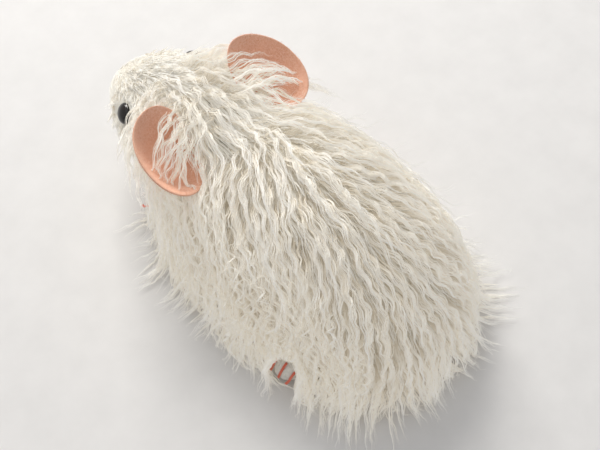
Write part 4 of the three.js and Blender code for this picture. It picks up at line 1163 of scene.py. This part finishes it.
@dataclass
class LongPile:
    """The long wavy locks on the head, body and skirt, in bands that are pieces of their own."""

    hide: Hide
    steps: int = 20
    reach: Point = (61.0, 111.0, 89.0)
    face_length: float = 7.0
    mane_length: float = 28.0
    back_length: float = 40.0
    bands: tuple[str, ...] = ("crown", "nape", "flank", "haunch", "rump")
    coat: Lay = Lay("locks", 4.4)
    skirt: Lay = Lay(
        "skirt", 5.4, longer=1.3, rise=(0.5, 3.0), tips=(0.0, 5.0), wave=0.45, splay=0.95,
        high=(99.0, 120.0, 36.0), seed=17,
    )
    stray: Lay = Lay(
        "stray", 8.0, longer=1.1, rise=(2.0, 5.0), tips=(5.0, 16.0), wave=0.8, splay=0.45, seed=29
    )
    fringe: Lay = Lay(
        "fringe", 3.1, longer=1.2, rise=(3.0, 7.0), tips=(0.0, 1.5), outward=1.5,
        low=(3.0, -59.0, 58.0), high=(25.0, -28.0, 99.0), seed=41,
    )
    curl: Lay = Lay(
        "curl", 6.2, longer=0.7, rise=(2.0, 4.5), tips=(-1.5, 1.5), wave=1.35, pitch=(5.0, 7.0),
        low=(18.0, -38.0, 12.0), high=(99.0, 72.0, 60.0), seed=53,
    )

    def scattered(self, lay: Lay) -> np.ndarray:
        """Places at random all over the bed, inside the layer's own limits and off the key.

        Args:
            lay: The layer.

        Returns:
            The places in millimetres, in a random order.
        """
        rng = np.random.default_rng(lay.seed)
        tries = []
        for form in (self.hide.body.mesh("a", self.hide.body_inset), self.hide.head.mesh("b")):
            a, b, c = (corner / MM for corner in triangles(form))
            areas = np.linalg.norm(np.cross(b - a, c - a), axis=1) / 2
            pick = rng.choice(len(areas), int(areas.sum() * 1.1), p=areas / areas.sum())
            u, v = rng.random((2, len(pick)))
            flip = u + v > 1
            u, v = np.where(flip, 1 - u, u), np.where(flip, 1 - v, v)
            tries.append(a[pick] + (b - a)[pick] * u[:, None] + (c - a)[pick] * v[:, None])
        points = np.vstack(tries)
        inside = np.abs(points) * (1, 0, 0) + points * (0, 1, 1)
        keep = np.all((inside > lay.low) & (inside < lay.high), axis=1)
        keep &= ~((key_distance(points) < self.hide.key_room + 1.2) & (points[:, 0] < KEY_SIDE))
        return rng.permutation(points[keep])

    def roots(self, lay: Lay) -> Triple:
        """Picks roots that are nowhere closer than the layer's spacing.

        Args:
            lay: The layer.

        Returns:
            Places, ways out and headness.
        """
        points = self.scattered(lay)
        height, out, headness = self.hide.probe(points)
        shown = height > -0.4
        points, out, headness = points[shown], out[shown], headness[shown]
        chosen: list[int] = []
        grid: dict[tuple[int, ...], list[int]] = {}
        for i, point in enumerate(points):
            cell = tuple((point // lay.spacing).astype(int))
            around = (
                j
                for dx in (-1, 0, 1)
                for dy in (-1, 0, 1)
                for dz in (-1, 0, 1)
                for j in grid.get((cell[0] + dx, cell[1] + dy, cell[2] + dz), ())
            )
            if all(np.sum((points[j] - point) ** 2) > lay.spacing**2 for j in around):
                grid.setdefault(cell, []).append(i)
                chosen.append(i)
        return points[chosen], out[chosen], headness[chosen]

    def lengths(
        self, points: np.ndarray, headness: np.ndarray, rng: np.random.Generator
    ) -> np.ndarray:
        """How long the locks are: short behind the eyes, longest on the back, less in the skirt."""
        _, y, z = points.T
        head = self.face_length + self.mane_length * smooth(y, -78, -34)
        body = self.back_length - 9 * (1 - smooth(z, 5, 26)) - 4 * smooth(y, 60, 95)
        return (head * headness + body * (1 - headness)) * rng.uniform(0.76, 1.2, len(points))

    def courses(
        self, roots: Triple, lengths: np.ndarray, lay: Lay, rng: np.random.Generator
    ) -> Triple:
        """Lays the locks' middle lines over the bed, before they are waved.

        Args:
            roots: Places, ways out and headness.
            lengths: How long each lock is.
            lay: The layer.
            rng: Where its chances come from.

        Returns:
            The lines, the ways out of the bed along them, and how low each one may lie.
        """
        points, out, headness = roots
        count = len(points)
        head = [self.hide.head.inset(y) for y in points[:, 1]]
        inset = np.where(headness > 0.5, head, self.hide.body_inset)
        rise = inset + rng.uniform(*lay.rise, count) + 2.5 * headness
        floor = self.hide.floor_gap + rng.uniform(0, 2.2, count)
        tips = rng.uniform(*lay.tips, count)
        splay = lay.splay * rng.uniform(0.5, 1.25, count)
        splay = splay * (0.3 + 0.7 * smooth(points[:, 1], -50, 5))
        step = lengths / self.steps
        limit = rng.uniform(0.9, 1.0, count)
        at = points.copy()
        heading = unit(out * 0.9 + self.hide.comb(at, out, headness))
        line, ways = [at], [out]
        for k in range(1, self.steps + 1):
            gone = lengths * k / self.steps
            height, way, nearby = self.hide.probe(at)
            flow = self.hide.comb(at, way, nearby)
            leave = splay * smooth(k / self.steps, 0.1, 0.7)
            away = unit(np.stack([at[:, 0], (at[:, 1] - 20) * 0.55, np.full(count, -10.0)], 1))
            flow = flow * (1 - leave[:, None]) + away * leave[:, None] * 1.3
            flow[:, 0] += lay.outward * np.sign(points[:, 0])
            wanted = rise * (1 - np.exp(-gone / 5.0)) + tips * smooth(k / self.steps, 0.6, 1.0)
            lift = np.clip((wanted - height) * 0.28, -0.7 * (1 - leave), 1.2)
            heading = unit(heading * 0.75 + flow * 0.7 + way * lift[:, None])
            far = (at[:, 0] / self.reach[0]) ** 6 + (at[:, 1] / self.reach[1]) ** 6
            pace = step * (1 - smooth(far ** (1 / 6) / limit, 0.95, 1.02))
            at = self.hide.clear(at + heading * pace[:, None], floor)
            at[:, 2] = np.minimum(at[:, 2], self.reach[2])
            line.append(at)
            ways.append(way)
        return np.stack(line, 1), np.stack(ways, 1), floor

    def grow(self, roots: Triple, lay: Lay) -> dict[str, np.ndarray]:
        """Grows one layer's locks and waves them, most of all on the flanks.

        Args:
            roots: Places, ways out and headness.
            lay: The layer.

        Returns:
            The lines, their sideways and upward arrows, and each lock's shade.
        """
        points, _, headness = roots
        rng = np.random.default_rng(lay.seed + 1)
        count = len(points)
        lengths = self.lengths(points, headness, rng) * lay.longer
        lines, ways, floor = self.courses(roots, lengths, lay, rng)
        along = np.linspace(0, 1, self.steps + 1)
        forward = unit(np.gradient(lines, axis=1))
        side = unit(np.cross(forward, ways))
        up = np.cross(side, forward)
        x, _, z = points.T
        flank = smooth(np.abs(x), 18, 40) * smooth(z, 10, 24) * (1 - headness)
        waves = (0.8 + 1.3 * flank) * rng.uniform(0.5, 1.4, count)
        waves = waves * (1 - 0.6 * (1 - smooth(z, 4, 16)))
        waves *= smooth(lengths, 8, 30) * lay.wave
        pitch = rng.uniform(*lay.pitch, count)
        phase = rng.uniform(0, math.tau, count)
        turn = math.tau * along * (lengths / pitch)[:, None] + phase[:, None]
        sway = waves[:, None] * np.minimum(1, along * 4) * (1 - 0.35 * along)
        lines = lines + side * (np.sin(turn) * sway)[:, :, None]
        lines = lines + up * (np.cos(turn) * sway * 0.7)[:, :, None]
        lines[:, :, 2] = np.maximum(lines[:, :, 2], floor[:, None] * 0.8)
        shade = np.array([0.5 + 0.75 * noise.noise(Vector(p) / 16.0) for p in points])
        tone = np.clip(shade * 0.6 + rng.uniform(0, 0.4, count), 0.02, 0.98)
        return {"line": lines, "side": side, "lift": up, "tone": tone}

    def build(self, maker: Maker, finish: bpy.types.Material) -> list[bpy.types.Object]:
        """Grows every layer, and makes each side, or each band of a side, a piece.

        Args:
            maker: The tree that makes locks.
            finish: What they wear.

        Returns:
            The pieces.
        """
        made = []
        layers: tuple[tuple[Lay, dict[str, float]], ...] = (
            (self.coat, {}),
            (self.skirt, dict(Strands=7, Thickness=0.16, Root_spread=2.2, Tip_spread=0.4)),
            (self.stray, dict(Strands=3, Thickness=0.12, Root_spread=1.2, Tip_spread=0.9)),
            (self.fringe, dict(Strands=8, Thickness=0.15)),
            (self.curl, dict(Strands=5, Thickness=0.18, Root_spread=1.3, Frizz=0.2)),
        )
        for lay, given in layers:
            sizes = {k: size if k == "Strands" else size * MM for k, size in given.items()}
            roots = self.roots(lay)
            grown = self.grow(roots, lay)
            for side in Side:
                name = f"{lay.name}_{side.label}"
                parts = {name: side.picks(roots[0])}
                if lay is self.coat:
                    mine = parts[name][np.argsort(roots[0][parts[name], 1])]
                    labels = [f"{name}_{band}" for band in self.bands]
                    parts = dict(zip(labels, np.array_split(mine, len(labels))))
                for label, part in parts.items():
                    source = guides(label + "_lines", grown, part)
                    made.append(maker.run(source, label, finish, **sizes))
            log.info("%s: %d locks", lay.name, len(roots[0]))
        return made


@dataclass
class ShortPile:
    """Short pile that stands on a surface, denser or longer from place to place."""

    maker: Maker
    finish: bpy.types.Material

    def grow(
        self,
        skin: bpy.types.Mesh,
        name: str,
        rule: Callable[[np.ndarray, np.ndarray], Triple],
        **sizes: float,
    ) -> bpy.types.Object:
        """Covers a surface.

        Args:
            skin: The surface, in metres.
            name: The new piece's name.
            rule: Gives the way the pile is combed, its length in millimetres and how fully it
                covers, from places in millimetres and ways out.
            **sizes: The tree's inputs.

        Returns:
            The new piece.
        """
        at = np.array([v.co for v in skin.vertices]) / MM
        comb, pile, cover = rule(at, np.array([v.normal for v in skin.vertices]))
        set_arrows(skin, comb=comb)
        set_values(skin, pile=pile * MM, cover=cover)
        return self.maker.run(placed(name + "_skin", skin), name, self.finish, **sizes)


# ---------------------------------------------------------------- sub-assemblies


@dataclass
class Coat:
    """The stuffed body and head under the pile, and all of the pile on them."""

    hide: Hide
    finishes: Finishes
    eye_room: float = 3.6
    under_length: float = 10.0
    lump_height: float = 0.7
    lump_size: float = 9.0

    def bed(self) -> list[bpy.types.Object]:
        """The backing of the pile on body and head, cut to the frame's own inside."""
        made = []
        hide = self.hide
        forms = {
            "body": hide.body.mesh("body_form", hide.body_inset, 64, 56, hide.body_footing),
            "head": hide.head.mesh("head_form"),
        }
        for name, form in forms.items():
            roughened(form, self.lump_height, self.lump_size)
            piece = common_part(name + "_bed", placed("form", form), cad_copy(name + "_coat"))
            finish = self.finishes.bed.material()
            made.append(settled(piece, finish, name + "_coat"))
        return made

    def face_rule(self, at: np.ndarray, out: np.ndarray) -> Triple:
        """Short on the snout, longer towards the ears, and parted round the eyes."""
        _, y, z = at.T
        comb = self.hide.comb(at, out, np.ones(len(at)))
        pile = 2.3 + 3.6 * smooth(y, -88, -56) + 3.2 * smooth(y, -60, -40)
        pile += 2.5 * smooth(z, 50, 72) * smooth(y, -80, -60)
        cover = 1 - 0.65 * smooth(y, -56, -36)
        for side in Side:
            far = np.linalg.norm(at - side.of(EYE_AT), axis=1)
            cover *= smooth(far, self.eye_room, self.eye_room + 1.0)
        return comb, pile, cover

    def under_rule(self, at: np.ndarray, out: np.ndarray) -> Triple:
        """Shorter hair that fills the coat under its locks, and leaves the key's room free."""
        pocket = (key_distance(at) < self.hide.key_room + 1.0) & (at[:, 0] < KEY_SIDE)
        cover = np.where(pocket, 0.0, smooth(at[:, 2], 12.0, 15.0))
        comb = self.hide.comb(at, out, np.zeros(len(at))) * 1.6
        return comb, np.full(len(at), self.under_length), cover

    def build(self, locks: Maker, pile: Maker) -> list[bpy.types.Object]:
        """The bed, the locks, the face's pile and the hair under the locks.

        Args:
            locks: The tree that makes locks.
            pile: The tree that makes short pile.

        Returns:
            The pieces.
        """
        made = self.bed()
        hair = LongPile(self.hide).build(locks, self.finishes.locks.material())
        short = ShortPile(pile, self.finishes.face.material())
        for side in Side:

            def rule(at: np.ndarray, out: np.ndarray) -> Triple:
                """The face's pile on one side only."""
                comb, length, cover = self.face_rule(at, out)
                return comb, length, cover * smooth(at[:, 0] * side.value, -0.5, 0.5)

            skin = self.hide.head.mesh("face")
            hair.append(short.grow(skin, f"face_pile_{side.label}", rule, Seed=20 + side.value))
        skin = self.hide.body.mesh("under", self.hide.body_inset, footing=2.0)
        sizes = dict(Tufts_per_square_metre=0.18e6, Slenderness=0.045, Tousle=0.6, Stand=0.45)
        hair.append(short.grow(skin, "under_pile", self.under_rule, **sizes))
        return made + [settled(piece) for piece in hair]


@dataclass
class Ears:
    """Cupped felt discs that lean out from the sides of the head."""

    finishes: Finishes
    length: float = 38.0
    breadth: float = 27.0
    felt: float = 1.8
    cup: float = 8.0
    pinch: float = 5.0
    rim: float = 0.93
    root: Point = (18.0, -30.9, 58.0)
    aim: Point = (8.0, 34.0, -14.0)
    reach: Point = (18.0, 0.0, 5.0)
    sides: int = 84
    rings: int = 14

    def mesh(self, side: Side) -> bpy.types.Mesh:
        """One ear, with a soft rounded rim.

        Args:
            side: Which ear.

        Returns:
            The closed mesh.
        """
        aim, reach = unit(np.array(self.aim)), unit(np.array(self.reach))
        up = unit(np.cross(reach, aim))
        out, aim, up = side.of(np.cross(aim, up)), side.of(aim), side.of(up)
        turns = np.arange(self.sides) * math.tau / self.sides

        def ring(far: float, lift: float) -> np.ndarray:
            """The points at a share of the way to the rim, lifted off the ear's back."""
            u, v = far * np.cos(turns), far * np.sin(turns)
            cup = self.cup * far**2 + self.pinch * np.maximum(0, -u) ** 2 * (1 - v) + lift
            at = [Vector((a * 2.1, b * 2.1, side.value * 5.0)) for a, b in zip(u, v)]
            cup = cup + 0.5 * np.array([noise.noise(p) for p in at]) * far
            points = side.of(self.root) + aim * (self.length / 2 * u)[:, None]
            return points + out * (self.breadth / 2 * (1 + v))[:, None] + up * cup[:, None]

        def thick(far: float) -> float:
            """Half the felt's thickness, rounded off at the rim."""
            past = max(0.0, (far - self.rim) / 0.07)
            return self.felt / 2 * math.sqrt(max(0.0, 1 - past**2))

        half = self.felt / 2
        shares = [math.sin(k / self.rings * math.pi / 2) for k in range(1, self.rings + 1)]
        top = [ring(share, half + thick(share)) for share in shares]
        under = [ring(share, half - thick(share)) for share in shares[-2::-1]]
        return ring_mesh("ear", np.array(top + under), [ring(0.0, h)[0] for h in (self.felt, 0.0)])

    def fuzz_rule(self, at: np.ndarray, out: np.ndarray) -> Triple:
        """Fuzz stands out from the rim, with hardly any on the flat."""
        comb = unit(at - at.mean(0))
        edge = np.abs(np.einsum("ij,ij->i", out, comb))
        return comb, np.full(len(at), 1.0), smooth(edge, 0.5, 0.9) * 0.9 + 0.1

    def build(self, pile: Maker) -> list[bpy.types.Object]:
        """Both ears and the fuzz on them.

        Args:
            pile: The tree that makes short pile.

        Returns:
            The pieces.
        """
        made = []
        felt = self.finishes.felt.material()
        fuzz = ShortPile(pile, self.finishes.fuzz.material())
        sizes = dict(Tufts_per_square_metre=0.8e6, Seed=5)
        for side in Side:
            ear = placed(f"felt_ear_{side.label}", self.mesh(side))
            made.append(settled(ear, felt, f"ear_{side.label}"))
            nap = fuzz.grow(self.mesh(side), f"ear_fuzz_{side.label}", self.fuzz_rule, **sizes)
            made.append(settled(nap))
        return made


@dataclass
class Face:
    """Domed eyes on stems, and the felt nose."""

    finishes: Finishes
    aim: Point = (0.8, -0.42, 0.42)
    radius: float = 4.6
    dome: float = 3.4
    rim: float = 0.5
    stem: float = 1.2
    stem_length: float = 9.0
    nose: Point = (0.0, -94.5, 38.0)
    nose_half: Point = (4.2, 2.6, 3.2)

    def eye_mesh(self, side: Side) -> bpy.types.Mesh:
        """A lathe-turned eye, its rim rounded where it meets the cloth.

        Args:
            side: Which eye.

        Returns:
            The closed mesh.
        """
        aim = unit(side.of(self.aim))
        across = unit(np.cross(aim, (0, 0, 1)))
        over = np.cross(across, aim)
        profile = [(self.stem, -self.stem_length + 0.1), (self.stem, -0.1)]
        profile += [(self.radius - 0.5, 0.0), (self.radius - 0.12, 0.1), (self.radius, self.rim)]
        for k in range(1, 16):
            turn = math.pi / 2 * k / 16
            height = self.rim + (self.dome - self.rim) * math.sin(turn)
            profile.append((self.radius * math.cos(turn), height))
        turns = np.arange(56) * math.tau / 56
        spokes = np.cos(turns)[:, None] * across + np.sin(turns)[:, None] * over
        middle = side.of(EYE_AT)
        rings = np.array([middle + spokes * r + aim * h for r, h in profile])
        return ring_mesh("eye", rings, (middle - aim * self.stem_length, middle + aim * self.dome))

    def nose_mesh(self) -> bpy.types.Mesh:
        """A small padded nose, broader above than below.

        Returns:
            The closed mesh.
        """
        rings = []
        half = self.nose_half
        turns = np.arange(40) * math.tau / 40
        for k in range(1, 24):
            turn = math.pi * k / 24
            x, z = np.cos(turns) * math.sin(turn), np.sin(turns) * math.sin(turn)
            x = x * (0.86 + 0.16 * z) * half[0]
            y = np.full(len(turns), -math.cos(turn) * half[1])
            rings.append(np.array(self.nose) + np.stack([x, y, z * half[2]], 1))
        ends = tuple(np.array(self.nose) + (0, d * half[1], 0) for d in (-1, 1))
        return ring_mesh("nose", np.array(rings), ends)

    def build(self) -> list[bpy.types.Object]:
        """Both eyes and the nose."""
        made = []
        bead = self.finishes.bead.material()
        for side in Side:
            eye = placed(f"bead_eye_{side.label}", self.eye_mesh(side))
            made.append(settled(eye, bead, f"eye_{side.label}"))
        nose = placed("felt_nose", self.nose_mesh())
        finish = self.finishes.nose.material()
        return made + [settled(nose, finish, "nose")]


@dataclass(frozen=True)
class Stance:
    """Where one foot stands: its toe tip on the left side, and how far it turns out."""

    end: str
    x: float
    y: float
    angle: float
    side: Side = Side.LEFT

    def turned(self, points: np.ndarray) -> np.ndarray:
        """Turns points about Z and sets them at the foot's place."""
        turn = self.side.value * self.angle
        x, y, z = points.T
        c, s = math.cos(turn), math.sin(turn)
        return np.stack([x * c - y * s + self.side.value * self.x, x * s + y * c + self.y, z], 1)


@dataclass
class Feet:
    """Stuffed feet with stitched toes, drawn pointing along -Y with the toe tip at the origin."""

    finishes: Finishes
    length: float = 22.0
    half_width: float = 8.0
    top: float = 7.0
    sole: float = 3.4
    rest: float = 1.3
    inset: float = 0.7
    widths: tuple[float, ...] = (1.06, 1.06, 1.04, 1, 0.94, 0.86, 0.8)
    toes: tuple[float, ...] = (-4.6, 0.4, 5.2)
    groove: float = 0.55
    groove_width: float = 0.9
    loops: int = 28
    sides: int = 36

    def surface(self, s: float, turn: float) -> np.ndarray:
        """A point of a foot, drawn in by its inset and pulled in by its stitches.

        Args:
            s: The share of the way from toe to heel, before it is rounded.
            turn: The angle round the foot.

        Returns:
            The point in millimetres.
        """
        swell = math.sin(math.pi * s)
        y = self.inset + (self.length - 2 * self.inset) * (1 - math.cos(math.pi * s)) / 2
        rise = math.sin(turn)
        tall = (self.top if rise > 0 else self.sole) - self.inset
        x = (self.half_width - self.inset) * share_at(self.widths, s) * swell * math.cos(turn)
        z = self.rest + self.sole + tall * swell * rise
        near = sum(math.exp(-(((x - toe) / self.groove_width) ** 2)) for toe in self.toes)
        pull = self.groove * near * float(smooth(s, 0.42, 0.1))
        return np.array([x, y + pull, z - pull * max(0.0, rise)])

    def stitch(self, toe: float) -> np.ndarray:
        """The line of one stitch, from under the toe over its tip and back along its top.

        Args:
            toe: How far to the side it lies.

        Returns:
            Its points.
        """
        points = []
        for k in range(11):
            t = k / 10
            turn = math.radians(-30 + 118 * t)
            s = 0.10 + 0.24 * t**1.3
            swell = math.sin(math.pi * s)
            wide = self.half_width * share_at(self.widths, s) * swell
            lean = math.acos(max(-0.999, min(0.999, toe * 0.92 / wide)))
            if abs(turn) < 0.2:
                turn = math.copysign(min(abs(turn), abs(lean)), turn)
            up = math.sin(turn)
            tall = self.top if up > 0 else self.sole
            y = self.length * (1 - math.cos(math.pi * s)) / 2
            across = 1 - (toe / max(wide, 0.1)) ** 2
            flat = math.sqrt(max(0.02, across)) if abs(toe) < wide else 0.14
            z = self.rest + self.sole + tall * swell * flat * up
            points.append([toe * (0.9 + 0.1 * t), y - 0.25 + 0.1 * t, z + 0.1])
        return np.array(points)

    def stitches(self, stance: Stance) -> dict[str, np.ndarray]:
        """One foot's stitches, as the thread's tree reads them."""
        lines = np.array([stance.turned(self.stitch(toe)) for toe in self.toes])
        turn = stance.side.value * stance.angle
        arrows = {"side": [math.cos(turn), math.sin(turn), 0.0], "lift": [0.0, 0.0, 1.0]}
        ways = {label: np.broadcast_to(arrow, lines.shape) for label, arrow in arrows.items()}
        return {"line": lines, "tone": np.full(len(lines), 0.5)} | ways

    def build(self, pile: Maker, thread: Maker) -> list[bpy.types.Object]:
        """Four feet, the pile on them and their stitches.

        Args:
            pile: The tree that makes short pile.
            thread: The tree that makes stitches.

        Returns:
            The pieces.
        """
        made = []
        bed, coral = self.finishes.wadding.material(), self.finishes.thread.material()
        short = ShortPile(pile, self.finishes.face.material())
        sizes = dict(Tufts_per_square_metre=1.0e6, Slenderness=0.13, Seed=9)
        places = (("rear", 50.0, 47.6, 1.52), ("front", 24.0, -56.9, 0.08))
        for stance in [Stance(*place, side) for place in places for side in Side]:
            label = f"{stance.end}_{stance.side.label}"
            rings = []
            for k in range(1, self.loops):
                turns = [math.tau * j / self.sides for j in range(self.sides)]
                ring = [self.surface(k / self.loops, turn) for turn in turns]
                rings.append(stance.turned(np.array(ring)))
            height = self.rest + self.sole
            ends = [[0, y, height] for y in (self.inset, self.length - self.inset)]
            poles = stance.turned(np.array(ends))
            foot = placed(f"paw_{label}", ring_mesh("paw", np.array(rings), poles))
            made.append(settled(foot, bed, f"foot_{label}"))

            def rule(at: np.ndarray, out: np.ndarray) -> Triple:
                """Short pile combed back towards the heel, thinner under the sole."""
                heel = stance.turned(np.array([[0.0, self.length, self.rest]]))[0]
                comb = unit(heel - at) * 0.8 + np.array([0, 0, 0.3])
                return comb, np.full(len(at), 1.3), 0.3 + 0.7 * smooth(at[:, 2], 1.0, 3.0)

            skin = ring_mesh("paw_skin", np.array(rings), poles)
            nap = short.grow(skin, f"paw_pile_{label}", rule, **sizes)
            picked = np.arange(len(self.toes))
            source = guides(f"stitch_{label}_lines", self.stitches(stance), picked)
            stitches = thread.run(source, f"toe_stitches_{label}", coral)
            made += [settled(piece) for piece in (nap, stitches)]
        return made


@dataclass
class KeyPocket:
    """The felt-lined recess in the coat that the winding key turns in."""

    finishes: Finishes
    radius: float = 14.1
    wall: float = 0.7
    floor: float = -33.0
    hole: float = 6.9
    lip: float = 0.9
    sides: int = 72

    def mesh(self, body: BVHTree) -> bpy.types.Mesh:
        """A cup whose wall ends just under the pile, wherever the body's side is.

        Args:
            body: The search tree of the body's bed.

        Returns:
            The closed mesh.
        """
        turns = np.arange(self.sides) * math.tau / self.sides
        spokes = np.stack([np.zeros(self.sides), np.cos(turns), np.sin(turns)], 1)
        middle = np.array([0.0, *KEY_AT])
        mouths = []
        for spoke in spokes:
            start = Vector(middle + spoke * self.radius + np.array([-80.0, 0, 0]))
            hit = body.ray_cast(start, Vector((1, 0, 0)))[0]
            mouths.append((hit.x if hit else self.floor) - 0.8)
        mouths = np.minimum(np.array(mouths), self.floor - 2.0)

        def ring(radius: float, x: np.ndarray | float) -> np.ndarray:
            """A ring round the key, at one depth or at its own depth for each point."""
            points = middle + spokes * radius
            points[:, 0] = x
            return points

        inner, outer, back = self.radius - self.wall, self.radius, self.floor + self.wall
        rings = [ring(self.hole, self.floor), ring(inner, self.floor)]
        rings += [ring(inner, self.floor + (mouths - self.floor) * t) for t in (0.35, 0.7, 1.0)]
        rings += [ring(inner + self.wall / 2, mouths - self.lip / 2), ring(outer, mouths)]
        rings += [ring(outer, back), ring(self.hole, back)]
        count, sides = len(rings), self.sides
        faces = []
        for a in range(count):
            for k in range(sides):
                b, after = (a + 1) % count, (k + 1) % sides
                near, next_ring = a * sides, b * sides
                faces.append((near + k, near + after, next_ring + after, next_ring + k))
        mesh = skin_mesh("pocket", np.array(rings).reshape(-1, 3) * MM, faces)
        mesh.set_sharp_from_angle(angle=math.radians(60))
        return mesh

    def build(self, body: BVHTree) -> list[bpy.types.Object]:
        """The lined recess."""
        cup = placed("key_pocket_lining", self.mesh(body))
        return [settled(cup, self.finishes.felt.material())]


@dataclass
class Works:
    """The clockwork, the wheels, the pan and the shell, which keep their CAD shapes."""

    finishes: Finishes

    def dress(self) -> int:
        """Gives each kept node its finish, by the record's material slot.

        Returns:
            How many nodes were dressed.
        """
        worn = {
            "body_shell": self.finishes.shell,
            "wheel_plastic": self.finishes.wheel,
            "tinplate": self.finishes.tin,
            "brass": self.finishes.brass,
            "turned_steel": self.finishes.steel,
            "spring_steel": self.finishes.spring,
            "tyre_rubber": self.finishes.rubber,
            "wadding": self.finishes.wadding,
        }
        slots = {row["node"]: row["material_slot"] for row in frame["record"]["subparts"]}
        made = {name: finish.material() for name, finish in worn.items()}
        dressed = [node for node in frame["nodes"] if slots.get(node, "") in made]
        for node in dressed:
            for slot in frame["nodes"][node].material_slots:
                slot.material = made[slots[node]]
        return len(dressed)


@dataclass(frozen=True)
class Lamp:
    """A large square lamp that faces the mouse, its place and size in metres."""

    name: str
    place: Point
    size: float
    power: float
    colour: RGB

    def hang(self) -> None:
        """Puts the lamp in the scene."""
        light = bpy.data.lights.new(self.name, "AREA")
        light.shape, light.size, light.energy = "SQUARE", self.size, self.power
        light.color = linear(self.colour)[:3]
        made = bpy.data.objects.new(self.name, light)
        made.location = self.place
        facing = Vector((0, 0, 0.03)) - Vector(self.place)
        made.rotation_euler = facing.to_track_quat("-Z", "Y").to_euler()
        bpy.context.scene.collection.objects.link(made)


@dataclass
class Studio:
    """The camera, the floor and soft plain light."""

    azimuth: float = 132.0
    elevation: float = 58.0
    distance: float = 430.0
    target: Point = (0.0, 15.5, 30.0)
    field: float = 33.0
    backdrop: RGB = (243, 241, 239)
    floor_colours: tuple[RGB, RGB] = ((220, 218, 216), (225, 223, 221))
    floor_half: float = 15.0
    fading: Span = (0.3, 0.9)
    sky: RGB = (246, 248, 252)
    sky_strength: float = 0.47
    lamps: tuple[Lamp, ...] = (
        Lamp("Window", (-0.42, -0.75, 0.85), 0.55, 12.2, (255, 253, 249)),
        Lamp("Ceiling", (0.1, -0.1, 1.3), 1.2, 2.2, (255, 253, 250)),
    )

    def seen(self, g: Graph) -> Socket:
        """1 where the camera looks straight, off a gloss or through glass, and 0 for light."""
        path = g.node("ShaderNodeLightPath").outputs
        rays = g.maths("ADD", path["Is Camera Ray"], path["Is Glossy Ray"])
        return g.maths("MINIMUM", g.maths("ADD", rays, path["Is Transmission Ray"]), 1.0)

    def camera(self) -> None:
        """Sets the camera at the photograph's angle."""
        a, e = math.radians(self.azimuth), math.radians(self.elevation)
        away = Vector((math.sin(a) * math.cos(e), -math.cos(a) * math.cos(e), math.sin(e)))
        lens = bpy.data.cameras.new("Camera")
        lens.sensor_width = 36.0
        lens.lens = 18.0 / math.tan(math.radians(self.field) / 2)
        made = bpy.data.objects.new("Camera", lens)
        made.location = (Vector(self.target) + away * self.distance) * MM
        made.rotation_euler = (-away).to_track_quat("-Z", "Y").to_euler()
        bpy.context.scene.collection.objects.link(made)
        bpy.context.scene.camera = made

    def floor(self) -> None:
        """A broad pale floor that fades into the backdrop."""
        mesh = bpy.data.meshes.new("floor")
        half = self.floor_half
        corners = [(-half, -half, 0), (half, -half, 0), (half, half, 0), (-half, half, 0)]
        mesh.from_pydata(corners, [], [(0, 1, 2, 3)])
        made = placed("floor", mesh)
        paint = Paint("Pale floor")
        share = paint.ranged(paint.grain(paint.place(), 60.0), 0.3, 0.7, 0.0, 1.0)
        paint.finished(Base_Color=paint.blend(share, *map(linear, self.floor_colours)), Roughness=0.9)
        length = paint.node("ShaderNodeVectorMath", {0: paint.place()}, operation="LENGTH")
        faded = paint.ranged(length.outputs["Value"], *self.fading, 0.0, 1.0)
        seen = paint.maths("MULTIPLY", self.seen(paint), faded)
        white = paint.out("ShaderNodeEmission", {0: linear(self.backdrop), 1: 1.0})
        mixed = paint.out("ShaderNodeMixShader", {0: seen, 1: paint.shader.outputs[0], 2: white})
        paint.put(paint.tree.nodes["Material Output"].inputs[0], mixed)
        mesh.materials.append(paint.material)

    def light(self) -> None:
        """Hangs the lamps in an even sky, behind which the backdrop is seen."""
        world = bpy.data.worlds.new("World")
        world.use_nodes = True
        g = Graph(world.node_tree)
        sky = world.node_tree.nodes["Background"]
        sky.inputs[0].default_value = linear(self.sky)
        sky.inputs[1].default_value = self.sky_strength
        white = g.out("ShaderNodeBackground", {0: linear(self.backdrop), 1: 1.0})
        mixed = g.out("ShaderNodeMixShader", {0: self.seen(g), 1: sky.outputs[0], 2: white})
        g.put(world.node_tree.nodes["World Output"].inputs[0], mixed)
        bpy.context.scene.world = world
        for lamp in self.lamps:
            lamp.hang()

    def build(self) -> None:
        """Sets up everything round the mouse."""
        self.camera()
        self.floor()
        self.light()
        bpy.context.scene.view_settings.view_transform = "Standard"


def main() -> None:
    """Builds the mouse, a sub-assembly at a time."""
    logging.basicConfig(level=logging.INFO, format="%(name)s: %(message)s")
    finishes = Finishes()
    Studio().build()
    log.info("works: %d nodes dressed", Works(finishes).dress())
    locks, pile, thread = lock_maker(), pile_maker(), thread_maker()
    hide = Hide(BodyForm(), HeadForm())
    ears = Ears(finishes)
    hide.ears = [nearness(ears.mesh(side)) for side in Side]
    pieces = ears.build(pile)
    pieces += Face(finishes).build()
    pieces += Feet(finishes).build(pile, thread)
    pieces += KeyPocket(finishes).build(hide.skins[0])
    pieces += Coat(hide, finishes).build(locks, pile)
    total = 0
    for piece in pieces:
        piece.data.calc_loop_triangles()
        total += len(piece.data.loop_triangles)
        log.info("%s: %d triangles", piece.name, len(piece.data.loop_triangles))
    log.info("all pieces: %d triangles", total)


if __name__ == "__main__":
    main()
